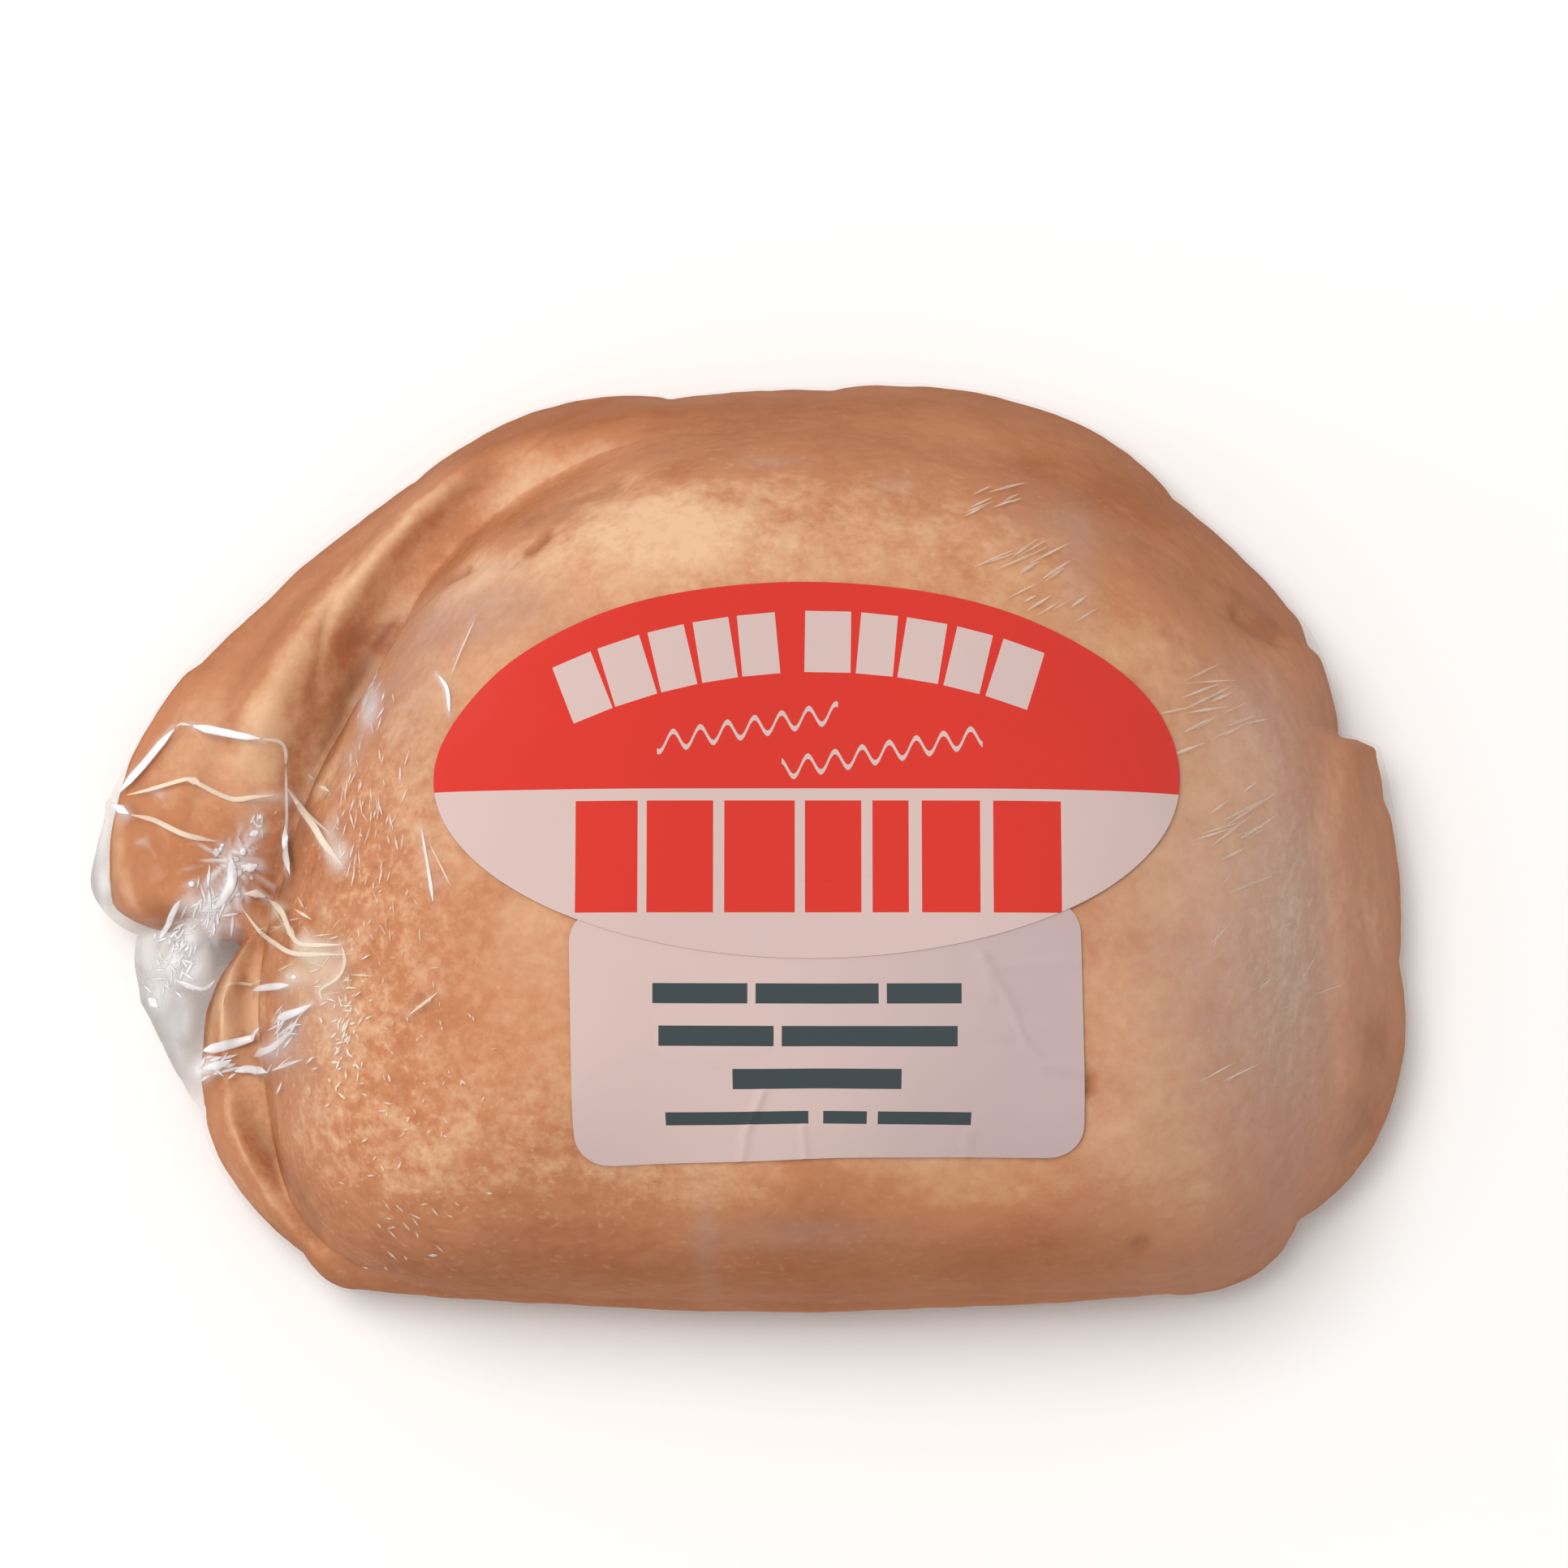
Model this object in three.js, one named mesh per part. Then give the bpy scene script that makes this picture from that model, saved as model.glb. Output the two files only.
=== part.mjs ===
// A baked half-moon pasty in a tight clear film, with an oval label over a small rectangular one.
// Millimetres, +Z up, resting on its flat base. +X runs along the pasty, +Y towards its crimped back.
// The film hugs the pastry, so pasty and film are one closed solid with the outer form of the film.
import * as THREE from "three";

// ---- driving sizes -------------------------------------------------------------------------
const HEIGHT = 46; // crown of the filled body above the base

// The filled body: a D of four superellipse quarters, by their half widths about the crown and by
// how square each quarter is.
const BODY_PLAN = {
  right: 61.8,
  left: 69.6,
  back: 50.2,
  front: 48.8,
  squareBackRight: 1.9,
  squareBackLeft: 1.93,
  squareFrontLeft: 3.1,
  squareFrontRight: 3.7,
};

// The crimps, anticlockwise from the front right corner. Each starts at a crease, at an angle in
// degrees and a radius about the crown, and runs to the next one's.
// swell: how far its back stands out of the straight line between the two creases. crest: where along
// it that is most. lean: how far its first crease has swept round by the time it meets the body.
// rise: how high its back stands.
const CRIMPS = [
  { at: -51, radius: 61.2, swell: 3.1, crest: 0.5, lean: 0, rise: 0.4 },
  { at: -37, radius: 66.2, swell: 4.8, crest: 0.45, lean: -3, rise: 0.8 },
  { at: -11, radius: 65.3, swell: 3.8, crest: 0.92, lean: -7, rise: 1.4 },
  { at: 11.5, radius: 59.2, swell: 1.3, crest: 0.6, lean: -3, rise: 0.6 },
  { at: 26, radius: 58.9, swell: 0.6, crest: 0.5, lean: 6, rise: 0.8 },
  { at: 43.5, radius: 55.5, swell: 5.1, crest: 0.4, lean: 12, rise: 1.0 },
  { at: 86, radius: 50.2, swell: 0.5, crest: 0.5, lean: 20, rise: 1.2 },
  { at: 106, radius: 50.9, swell: 3.5, crest: 0.5, lean: 34, rise: 1.8 },
  { at: 136, radius: 57.5, swell: 1.0, crest: 0.5, lean: 34, rise: 1.6 },
  { at: 163, radius: 68, swell: 6.4, crest: 0.78, lean: 20, rise: 2.2 },
  { at: 187.5, radius: 71, swell: 1.9, crest: 0.3, lean: 0, rise: 2.6 },
  { at: 204, radius: 69.3, swell: 2, crest: 0.4, lean: 0, rise: 2.2 },
  { at: 219.5, radius: 68.3, swell: 0.9, crest: 0.5, lean: 0, rise: 0.6 },
  { at: 225, radius: 67, swell: 1.7, crest: 0.5, lean: 0, rise: 0 }, // the folded front edge
];

const CRIMP_FULLNESS = 0.8; // below 1 the backs are fuller and the creases between them sharper

const RIM = {
  width: 7.2, // how far the foot of the body lies inside its plain D, beside the rim
  leastWidth: 0.3,
  cornerReach: 1.2, // how far the foot of the body may stand out of its plain D
  broadBy: 10, // how much wider it is where the long folds lie, at the left
  broadAt: 168,
  broadSpan: 31,
  edgeHeight: 8, // widest line of the rim above the base
  broadCrest: 0.55, // where it would be highest, as a share of the way in to the body: at the left ...
  narrowCrest: 1.3, // ... and elsewhere, where it climbs on into the body
  foldsFrom: 0.33, // the long folds have their full height from this share of the way in
  from: 312, // the rim fades in after this angle ...
  to: 226, // ... and out before this one, leaving the front plain
  fade: 26,
};

const BODY = {
  lowFoot: 15, // where the rim and the body meet: at the left and along the front ...
  highFoot: 24, // ... and beside the narrow rim
  lowFrom: 102, // the foot is low between these angles, ...
  lowTo: 240,
  lowFade: 36, // ... and climbs over this much of each end
  frontBulge: 0.8, // how far the plain front wall swells between its base and its shoulder
  flatness: 4.5, // higher is flatter on top
  slackShoulder: 1, // higher is fuller: where the body flows into the narrow rim, ...
  leftShoulder: 1.5, // ... where it falls to the broad one ...
  fullShoulder: 1.7, // ... and along the plain front
  baseInset: 7, // how far the flat base stays inside the outline
};

// The slow unevenness of the dough: waves over the plan, in radians per millimetre. They are least on
// the crown, where the labels lie flat, and die out at the foot of the body.
const LUMPS = {
  waves: [
    { height: 0.5, x: 0.11, y: 0.12, phase: 0.3 },
    { height: 0.4, x: 0.12, y: -0.13, phase: 1.0 },
    { height: 0.4, x: 0.21, y: -0.16, phase: 1.9 },
    { height: 0.2, x: 0.35, y: 0.29, phase: 1.6 },
  ],
  flatWithin: 14,
  fullBeyond: 44,
  footShare: 0.2,
};

// Long folds (height above 0) and creases (below 0) in the dough, as runs of plan points about the crown.
const FOLDS = [
  { run: [[-37, 41], [-48.5, 27], [-58, 11]], width: 4.2, height: 2.0 },
  { run: [[-27, 42], [-34, 32], [-39, 26]], width: 3.4, height: 1.5 },
  { run: [[-33, 39.5], [-41, 30.5], [-47, 21.5]], width: 2.8, height: -1.0 },
  { run: [[-46, 19], [-51, 6], [-54, -6]], width: 2.8, height: -2.2 },
  { run: [[-58, -29], [-54.5, -34], [-50, -41]], width: 1.8, height: -1.8 },
  { run: [[-28, 31.5], [-19, 34.5]], width: 2.2, height: -1.2 },
  { run: [[44, 26.5], [50, 23]], width: 1.8, height: -1.2 },
  { run: [[57, -33], [60, -30]], width: 2.4, height: -1.2 },
];

// Standard die-cut label sizes: three by one and a half inches, and two by one.
const OVAL = { at: [0.9, 3.1], width: 76.2, depth: 38.1 };
const PLATE = { at: [2.6, -23.3], width: 50.8, depth: 25.4, corner: 3.2, turn: 0.02 };
const LABEL = { gap: 0.3, thickness: 0.4, layingSteps: 24, stepReach: 5, stepRun: 3 };

const STEPS = { around: 168, underside: 3, rim: 9, body: 12, label: 60, labelRings: 6 };

// ---- small helpers -------------------------------------------------------------------------
const RAD = Math.PI / 180;
const QUARTER = Math.PI / 2;
const TURN = 2 * Math.PI;
const mix = (a, b, t) => a + (b - a) * t;
const clamp01 = (t) => Math.min(1, Math.max(0, t));
const smooth = (a, b, x) => {
  const t = clamp01((x - a) / (b - a));
  return t * t * (3 - 2 * t);
};
// An angle in degrees, brought into the turn that starts at low.
const wrapDegrees = (angle, low) => low + ((((angle - low) % 360) + 360) % 360);

// 0 at both ends and 1 at the crest.
const hump = (t, crest) =>
  t < crest ? Math.sin((t / crest) * QUARTER) : Math.cos(((t - crest) / (1 - crest)) * QUARTER);

// ---- the pasty's form ----------------------------------------------------------------------
// The body's plain D at an angle, by the quarter of it that the angle lies in.
function plainRadius(angle) {
  const c = Math.cos(angle);
  const s = Math.sin(angle);
  const halfX = c >= 0 ? BODY_PLAN.right : BODY_PLAN.left;
  const halfY = s >= 0 ? BODY_PLAN.back : BODY_PLAN.front;
  const backPower = c >= 0 ? BODY_PLAN.squareBackRight : BODY_PLAN.squareBackLeft;
  const frontPower = c >= 0 ? BODY_PLAN.squareFrontRight : BODY_PLAN.squareFrontLeft;
  const power = s >= 0 ? backPower : frontPower;
  return ((Math.abs(c) / halfX) ** power + (Math.abs(s) / halfY) ** power) ** (-1 / power);
}

// The crimp that a point of the rim lies on, and how high its back is there, from 0 to 1. across is
// 0 at the outline and 1 at the foot of the body; the creases sweep round as they run inwards.
function crimpAt(angle, across) {
  const creases = CRIMPS.map((crimp) => crimp.at + crimp.lean * across);
  const degrees = wrapDegrees(angle / RAD, creases[0]);
  let index = CRIMPS.length - 1;
  while (degrees < creases[index]) index -= 1;
  const next = (index + 1) % CRIMPS.length;
  const end = next > 0 ? creases[next] : creases[0] + 360;
  const along = (degrees - creases[index]) / (end - creases[index]);
  const crimp = CRIMPS[index];
  return { crimp, next: CRIMPS[next], back: hump(along, crimp.crest) ** CRIMP_FULLNESS };
}

// The outline: straight lines between the creases, with each crimp's back swelling out of its own.
function outline(angle) {
  const { crimp, next, back } = crimpAt(angle, 0);
  const before = wrapDegrees(angle / RAD - crimp.at, 0) * RAD;
  const after = wrapDegrees(next.at - angle / RAD, 0) * RAD;
  const reach = crimp.radius * Math.sin(before) + next.radius * Math.sin(after);
  return (crimp.radius * next.radius * Math.sin(before + after)) / reach + crimp.swell * back;
}

// 1 where the rim is whole, 0 along the plain front.
function rimShare(angle) {
  const degrees = wrapDegrees(angle / RAD, RIM.from);
  const end = RIM.to + 360;
  return smooth(RIM.from, RIM.from + RIM.fade, degrees) * (1 - smooth(end - RIM.fade, end, degrees));
}

// The foot of the body, where it meets the rim; along the plain front it is just inside the outline.
function footRadius(angle) {
  const off = (wrapDegrees(angle / RAD, RIM.broadAt - 180) - RIM.broadAt) / RIM.broadSpan;
  const width = RIM.width + RIM.broadBy * Math.exp(-off * off);
  const plain = plainRadius(angle);
  const edge = Math.min(outline(angle) - RIM.leastWidth, plain + RIM.cornerReach);
  return Math.min(edge, mix(edge, plain - width, rimShare(angle)));
}

// 1 at the left, where the rim is broad and the long folds lie, and 0 beside the narrow rim.
function broadShare(angle) {
  const degrees = wrapDegrees(angle / RAD, BODY.lowFrom - 180);
  const rising = smooth(BODY.lowFrom, BODY.lowFrom + BODY.lowFade, degrees);
  return rising * (1 - smooth(BODY.lowTo - BODY.lowFade, BODY.lowTo, degrees));
}

function footHeight(angle) {
  return mix(BODY.lowFoot, BODY.highFoot, rimShare(angle) * (1 - broadShare(angle)));
}

// Distance from a plan point to a run of straight stretches.
function distanceToRun(x, y, run) {
  let nearest = Infinity;
  for (let i = 0; i + 1 < run.length; i += 1) {
    const [ax, ay] = run[i];
    const dx = run[i + 1][0] - ax;
    const dy = run[i + 1][1] - ay;
    const t = clamp01(((x - ax) * dx + (y - ay) * dy) / (dx * dx + dy * dy));
    nearest = Math.min(nearest, Math.hypot(x - ax - dx * t, y - ay - dy * t));
  }
  return nearest;
}

function foldHeight(x, y) {
  let sum = 0;
  for (const { run, width, height } of FOLDS) {
    const far = distanceToRun(x, y, run) / width;
    sum += height * Math.exp(-far * far);
  }
  return sum;
}

function lumps(x, y) {
  const sum = LUMPS.waves.reduce((total, w) => total + w.height * Math.sin(x * w.x + y * w.y + w.phase), 0);
  return sum * smooth(LUMPS.flatWithin, LUMPS.fullBeyond, Math.hypot(x, y));
}

// Height of the body at a share of the way from the crown (0) to its foot (1).
function bodyHeight(share, angle, radius) {
  const besideRim = mix(BODY.slackShoulder, BODY.leftShoulder, broadShare(angle));
  const shoulder = mix(BODY.fullShoulder, besideRim, rimShare(angle));
  const dome = (1 - share ** BODY.flatness) ** (1 / shoulder);
  const x = radius * Math.cos(angle);
  const y = radius * Math.sin(angle);
  const unevenness = smooth(0, LUMPS.footShare, 1 - share) * lumps(x, y) + foldHeight(x, y);
  return mix(footHeight(angle), HEIGHT, dome) + unevenness;
}

// Height of the body's top over a plan point about the crown.
function topAt(x, y) {
  const angle = Math.atan2(y, x);
  const radius = Math.hypot(x, y);
  return bodyHeight(Math.min(radius / footRadius(angle), 1), angle, radius);
}

// A point of the rim, from the outline (across 0) in to the foot of the body (across 1).
function rimPoint(angle, across) {
  const share = rimShare(angle);
  const { crimp, back } = crimpAt(angle, across);
  const bulge = BODY.frontBulge * (1 - share) * Math.sin(Math.PI * across);
  const radius = mix(outline(angle), footRadius(angle), across) + bulge;
  const foot = footHeight(angle);
  const crest = mix(RIM.narrowCrest, RIM.broadCrest, broadShare(angle));
  const climb = (way) => Math.sin(Math.min(1, way / crest) * QUARTER);
  const rimmed = mix(RIM.edgeHeight, foot, climb(across) / climb(1));
  const crimped = rimmed + crimp.rise * back * Math.sin(Math.PI * across) ** 2;
  const plain = mix(RIM.edgeHeight, foot, across);
  const folds = foldHeight(radius * Math.cos(angle), radius * Math.sin(angle));
  return { radius, height: mix(plain, crimped, share) + folds * Math.min(1, across / RIM.foldsFrom) };
}

// One slice, from the edge of the flat base, out, up and over to the crown, as [radius, height].
function slice(angle) {
  const edge = rimPoint(angle, 0);
  const inset = edge.radius - BODY.baseInset;
  const points = [];
  for (let i = 0; i < STEPS.underside; i += 1) {
    const turn = (i / STEPS.underside) * QUARTER;
    points.push([mix(inset, edge.radius, Math.sin(turn)), edge.height * (1 - Math.cos(turn))]);
  }
  for (let i = 0; i <= STEPS.rim; i += 1) {
    const { radius, height } = rimPoint(angle, i / STEPS.rim);
    points.push([radius, height]);
  }
  const foot = footRadius(angle);
  for (let i = 1; i < STEPS.body; i += 1) {
    const share = Math.cos((i / STEPS.body) * QUARTER);
    points.push([foot * share, bodyHeight(share, angle, foot * share)]);
  }
  return points;
}

// One closed skin from rings of points, with a single point at the bottom and at the top.
function skin(rings, bottom, top) {
  const around = rings[0].length;
  const points = [...rings.flat(), bottom, top];
  const bottomIndex = points.length - 2;
  const topIndex = points.length - 1;
  const last = (rings.length - 1) * around;
  const faces = [];
  for (let i = 0; i < around; i += 1) {
    const j = (i + 1) % around;
    for (let start = 0; start < last; start += around) {
      const a = start + i;
      const b = start + j;
      faces.push(a, b, b + around, a, b + around, a + around);
    }
    faces.push(bottomIndex, j, i, topIndex, last + i, last + j);
  }
  const geometry = new THREE.BufferGeometry().setFromPoints(points);
  geometry.setIndex(faces);
  geometry.computeVertexNormals();
  return geometry;
}

function pastyGeometry() {
  const slices = [];
  for (let i = 0; i < STEPS.around; i += 1) {
    const angle = (i / STEPS.around) * TURN;
    const place = ([radius, height]) =>
      new THREE.Vector3(radius * Math.cos(angle), radius * Math.sin(angle), height);
    slices.push(slice(angle).map(place));
  }
  const rings = slices[0].map((_, ring) => slices.map((points) => points[ring]));
  return skin(rings, new THREE.Vector3(0, 0, 0), new THREE.Vector3(0, 0, HEIGHT));
}

// ---- the labels ----------------------------------------------------------------------------
function ovalEdge() {
  const curve = new THREE.EllipseCurve(0, 0, OVAL.width / 2, OVAL.depth / 2, 0, TURN);
  return curve.getPoints(STEPS.label).slice(0, -1);
}

function plateEdge() {
  const { width, depth, corner, turn } = PLATE;
  const x = width / 2 - corner;
  const y = depth / 2 - corner;
  const shape = new THREE.Shape();
  shape.absarc(x, y, corner, 0, QUARTER, false);
  shape.absarc(-x, y, corner, QUARTER, Math.PI, false);
  shape.absarc(-x, -y, corner, Math.PI, Math.PI + QUARTER, false);
  shape.absarc(x, -y, corner, Math.PI + QUARTER, TURN, false);
  shape.closePath();
  const middle = new THREE.Vector2();
  return shape.getSpacedPoints(STEPS.label).slice(0, -1).map((p) => p.rotateAround(middle, turn));
}

// Where a point of a flat label comes to lie when it is smoothed down from its centre over the body:
// its way is as long over the curved top as it was on the flat label.
function layDown(flat, centre) {
  const along = flat.clone().normalize();
  const stretch = flat.length() / LABEL.layingSteps;
  const at = centre.clone();
  for (let i = 0; i < LABEL.layingSteps; i += 1) {
    const climb = topAt(at.x + along.x * stretch, at.y + along.y * stretch) - topAt(at.x, at.y);
    at.addScaledVector(along, stretch * Math.cos(Math.atan(climb / stretch)));
  }
  return at;
}

// 1 where the oval lies on the small label, 0 where it lies on the film beside it.
function overPlate(x, y) {
  const insideX = PLATE.width / 2 + LABEL.stepReach - Math.abs(x - PLATE.at[0]);
  const insideY = PLATE.depth / 2 + LABEL.stepReach - Math.abs(y - PLATE.at[1]);
  return smooth(0, LABEL.stepRun, Math.min(insideX, insideY));
}

const onFilm = () => LABEL.gap;
const onFilmAndPlate = (x, y) => LABEL.gap + (LABEL.gap + LABEL.thickness) * overPlate(x, y);

// A paper label of even thickness, smoothed down over the top of the body.
function labelGeometry(edge, at, gapAt) {
  const centre = new THREE.Vector2(...at);
  const lifted = (p, extra) => new THREE.Vector3(p.x, p.y, topAt(p.x, p.y) + gapAt(p.x, p.y) + extra);
  const under = [];
  const over = [];
  for (let ring = 1; ring <= STEPS.labelRings; ring += 1) {
    const share = ring / STEPS.labelRings;
    const laid = edge.map((p) => layDown(p.clone().multiplyScalar(share), centre));
    under.push(laid.map((p) => lifted(p, 0)));
    over.unshift(laid.map((p) => lifted(p, LABEL.thickness)));
  }
  return skin([...under, ...over], lifted(centre, 0), lifted(centre, LABEL.thickness));
}

// ---- materials and assembly ----------------------------------------------------------------
const crust = new THREE.MeshStandardMaterial({ color: 0xc98f66, roughness: 0.4, metalness: 0 });
const redAndWhite = new THREE.MeshStandardMaterial({ color: 0xdc3a28, roughness: 0.45, metalness: 0 });
const whitePaper = new THREE.MeshStandardMaterial({ color: 0xd6bab4, roughness: 0.6, metalness: 0 });

function named(name, geometry, material) {
  const mesh = new THREE.Mesh(geometry, material);
  mesh.name = name;
  return mesh;
}

const pasty = new THREE.Group();
pasty.add(named("film_wrapped_pasty", pastyGeometry(), crust));
pasty.add(named("small_label", labelGeometry(plateEdge(), PLATE.at, onFilm), whitePaper));
pasty.add(named("oval_label", labelGeometry(ovalEdge(), OVAL.at, onFilmAndPlate), redAndWhite));

// The origin is under the middle of the whole, on the surface that it rests on.
const bounds = new THREE.Box3().setFromObject(pasty);
const middle = bounds.getCenter(new THREE.Vector3());
pasty.position.set(-middle.x, -middle.y, -bounds.min.z);

export default pasty;
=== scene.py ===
"""A baked half-moon pasty in a tight clear film, with an oval label over a small rectangular one."""

import math
import random

import bmesh
import bpy
import numpy as np
from bpy.props import FloatProperty, FloatVectorProperty, PointerProperty
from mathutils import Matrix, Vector, noise
from mathutils.bvhtree import BVHTree


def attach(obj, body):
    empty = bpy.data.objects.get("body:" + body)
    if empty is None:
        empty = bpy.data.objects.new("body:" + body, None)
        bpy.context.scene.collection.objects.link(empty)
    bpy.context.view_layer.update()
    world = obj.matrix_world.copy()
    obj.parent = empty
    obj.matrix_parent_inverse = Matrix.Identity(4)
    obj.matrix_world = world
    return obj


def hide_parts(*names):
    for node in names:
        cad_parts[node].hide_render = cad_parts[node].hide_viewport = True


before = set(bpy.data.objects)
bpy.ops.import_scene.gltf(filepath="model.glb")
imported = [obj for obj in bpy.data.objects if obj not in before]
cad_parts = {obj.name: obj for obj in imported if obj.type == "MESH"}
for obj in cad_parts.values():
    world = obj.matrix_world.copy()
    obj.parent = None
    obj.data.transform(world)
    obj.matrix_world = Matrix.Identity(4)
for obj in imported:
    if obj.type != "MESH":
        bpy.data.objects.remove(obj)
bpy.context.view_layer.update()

bl_info = {
    "name": "Film-wrapped pasty",
    "version": (1, 0, 0),
    "blender": (4, 5, 0),
    "location": "3D View > Sidebar > Pasty",
    "description": "Dresses the packed pasty: its dough, its clear film, two paper labels and a stage",
    "category": "Object",
}

BODY_NAME = "root"
MM = 0.001
QUARTER = math.pi / 2

# ---- the main view ---------------------------------------------------------------------------
# The stage camera, in millimetres and degrees, and the side of its square view in pixels.
FOCAL_LENGTH, SENSOR_WIDTH, VIEW_PIXELS = 115.5, 36.0, 1932
CAMERA_DISTANCE, CAMERA_ELEVATION, CAMERA_TARGET = 500.0, 82.0, (3.76, 1.05, 46.0)
CROWN_ALONG, CROWN_BACK, CROWN_HEIGHT = 5.43, -0.42, 46.0
SIGHT_START, SIGHT_STEPS, SIGHT_STRIDE = 20.0, 40, 0.4  # how a line of sight closes in on the form

# ---- the pasty's form, in millimetres about its crown --------------------------------------
# The filled body: a D of four superellipse quarters, by half widths and by squareness.
HALF_RIGHT, HALF_LEFT, HALF_BACK, HALF_FRONT = 61.8, 69.6, 50.2, 48.8
SQUARE_BACK_RIGHT, SQUARE_BACK_LEFT, SQUARE_FRONT_LEFT, SQUARE_FRONT_RIGHT = 1.9, 1.93, 3.1, 3.7

# The crimps, anticlockwise from the front right corner: the angle and radius of the crease that each
# starts at, how far its back swells out, where along it that is most, how far its crease has swept
# round where it meets the body, and how high its back stands.
RIGHT_AND_BACK_CRIMPS = [
    (-51, 61.2, 3.1, 0.5, 0, 0.4),
    (-37, 66.2, 4.8, 0.45, -3, 0.8),
    (-11, 65.3, 3.8, 0.92, -7, 1.4),
    (11.5, 59.2, 1.3, 0.6, -3, 0.6),
    (26, 58.9, 0.6, 0.5, 6, 0.8),
    (43.5, 55.5, 5.1, 0.4, 12, 1.0),
    (86, 50.2, 0.5, 0.5, 20, 1.2),
    (106, 50.9, 3.5, 0.5, 34, 1.8),
    (136, 57.5, 1.0, 0.5, 34, 1.6),
]
# At the left the film stands off the dough: its crimps, and those of the dough inside it.
FILM_LEFT_CRIMPS = [
    (163, 68, 6.4, 0.78, 20, 2.2),
    (187.5, 71, 1.9, 0.3, 0, 2.6),
    (204, 69.3, 2, 0.4, 0, 2.2),
    (219.5, 68.3, 0.9, 0.5, 0, 0.6),
    (225, 67, 1.7, 0.5, 0, 0),
]
DOUGH_LEFT_CRIMPS = [
    (163, 67.6, 13.4, 0.8, 16, 2.4),
    (189.8, 60.1, 2.6, 0.4, 0, 3.0),
    (204, 69.2, 1.9, 0.4, 0, 2.2),
    (219.5, 68.2, 0.9, 0.5, 0, 0.6),
    (225, 66.9, 1.7, 0.5, 0, 0),
]
FILM_CRIMPS = np.array(RIGHT_AND_BACK_CRIMPS + FILM_LEFT_CRIMPS, float)
DOUGH_CRIMPS = np.array(RIGHT_AND_BACK_CRIMPS + DOUGH_LEFT_CRIMPS, float)
CRIMP_FULLNESS = 0.8

RIM_WIDTH, RIM_LEAST_WIDTH, RIM_BROAD_BY, RIM_BROAD_AT, RIM_BROAD_SPAN = 7.2, 0.3, 10.0, 168, 31
CORNER_REACH = 1.2  # how far the body's foot may stand out of its plain D
RIM_EDGE_HEIGHT, RIM_BROAD_CREST, RIM_NARROW_CREST, RIM_FOLDS_FROM = 8, 0.55, 1.3, 0.33
RIM_FROM, RIM_TO, RIM_FADE = 312, 226, 26
LOW_FOOT, HIGH_FOOT, LOW_FOOT_FROM, LOW_FOOT_TO, LOW_FOOT_FADE = 15, 24, 102, 240, 36
FRONT_BULGE, FLATNESS, BASE_INSET = 0.8, 4.5, 7
SLACK_SHOULDER, LEFT_SHOULDER, FULL_SHOULDER = 1.0, 1.5, 1.7
# The stretches along which the line between the rim and the body is smoothed: the turns over which that
# sets in and ends, in degrees, the way up over which it sets in, and how strong it is.
SOFT_STRETCHES = [
    ((-60, -42), (84, 112), (1.08, 1.45), 1),
    ((84, 112), (138, 160), (1.55, 1.85), 0.85),
]
SOFT_ENDS, SOFT_REACH = (2.5, 2.75), 5.0  # the way up over which all of it ends, and how widely it smooths

# Slow waves of the body's top: height, waves along x and y in radians per millimetre, phase.
LUMPS = [(0.5, 0.11, 0.12, 0.3), (0.4, 0.12, -0.13, 1.0), (0.4, 0.21, -0.16, 1.9), (0.2, 0.35, 0.29, 1.6)]
LUMPS_FLAT_WITHIN, LUMPS_FULL_BEYOND, LUMPS_FOOT_SHARE = 14, 44, 0.2

# Folds (height above 0) and creases (below 0): the run of plan points, width and height.
MAIN_FOLDS = [
    ([(-37, 41), (-48.5, 27), (-58, 11)], 4.2, 2.0),
    ([(-27, 42), (-34, 32), (-39, 26)], 3.4, 1.5),
    ([(-33, 39.5), (-41, 30.5), (-47, 21.5)], 2.8, -1.0),
    ([(-46, 19), (-51, 6), (-54, -6)], 2.8, -2.2),
    ([(-58, -29), (-54.5, -34), (-50, -41)], 1.8, -1.8),
    ([(-28, 31.5), (-19, 34.5)], 2.2, -1.2),
    ([(44, 26.5), (50, 23)], 1.8, -1.2),
    ([(57, -33), (60, -30)], 2.4, -1.2),
]


def between(first, last, share):
    """The value a share of the way from first to last."""
    return first + (last - first) * share


def eased(low, high, value):
    """0 at low and below, 1 at high and above, and smooth between."""
    share = np.clip((value - low) / (high - low), 0, 1)
    return share * share * (3 - 2 * share)


def in_turn(degrees, low):
    """The angle in degrees, brought into the turn that starts at low."""
    return low + np.mod(degrees - low, 360)


def hump(along, crest):
    """0 at both ends and 1 at the crest."""
    rising = np.sin(np.clip(along / crest, 0, 1) * QUARTER)
    falling = np.cos(np.clip((along - crest) / (1 - crest), 0, 1) * QUARTER)
    return np.where(along < crest, rising, falling)


def plain_radius(angle):
    """The body's plain D at an angle, by the quarter that the angle lies in."""
    across, up = np.cos(angle), np.sin(angle)
    half_x = np.where(across >= 0, HALF_RIGHT, HALF_LEFT)
    half_y = np.where(up >= 0, HALF_BACK, HALF_FRONT)
    back = np.where(across >= 0, SQUARE_BACK_RIGHT, SQUARE_BACK_LEFT)
    front = np.where(across >= 0, SQUARE_FRONT_RIGHT, SQUARE_FRONT_LEFT)
    power = np.where(up >= 0, back, front)
    return (np.abs(across / half_x) ** power + np.abs(up / half_y) ** power) ** (-1 / power)


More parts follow.
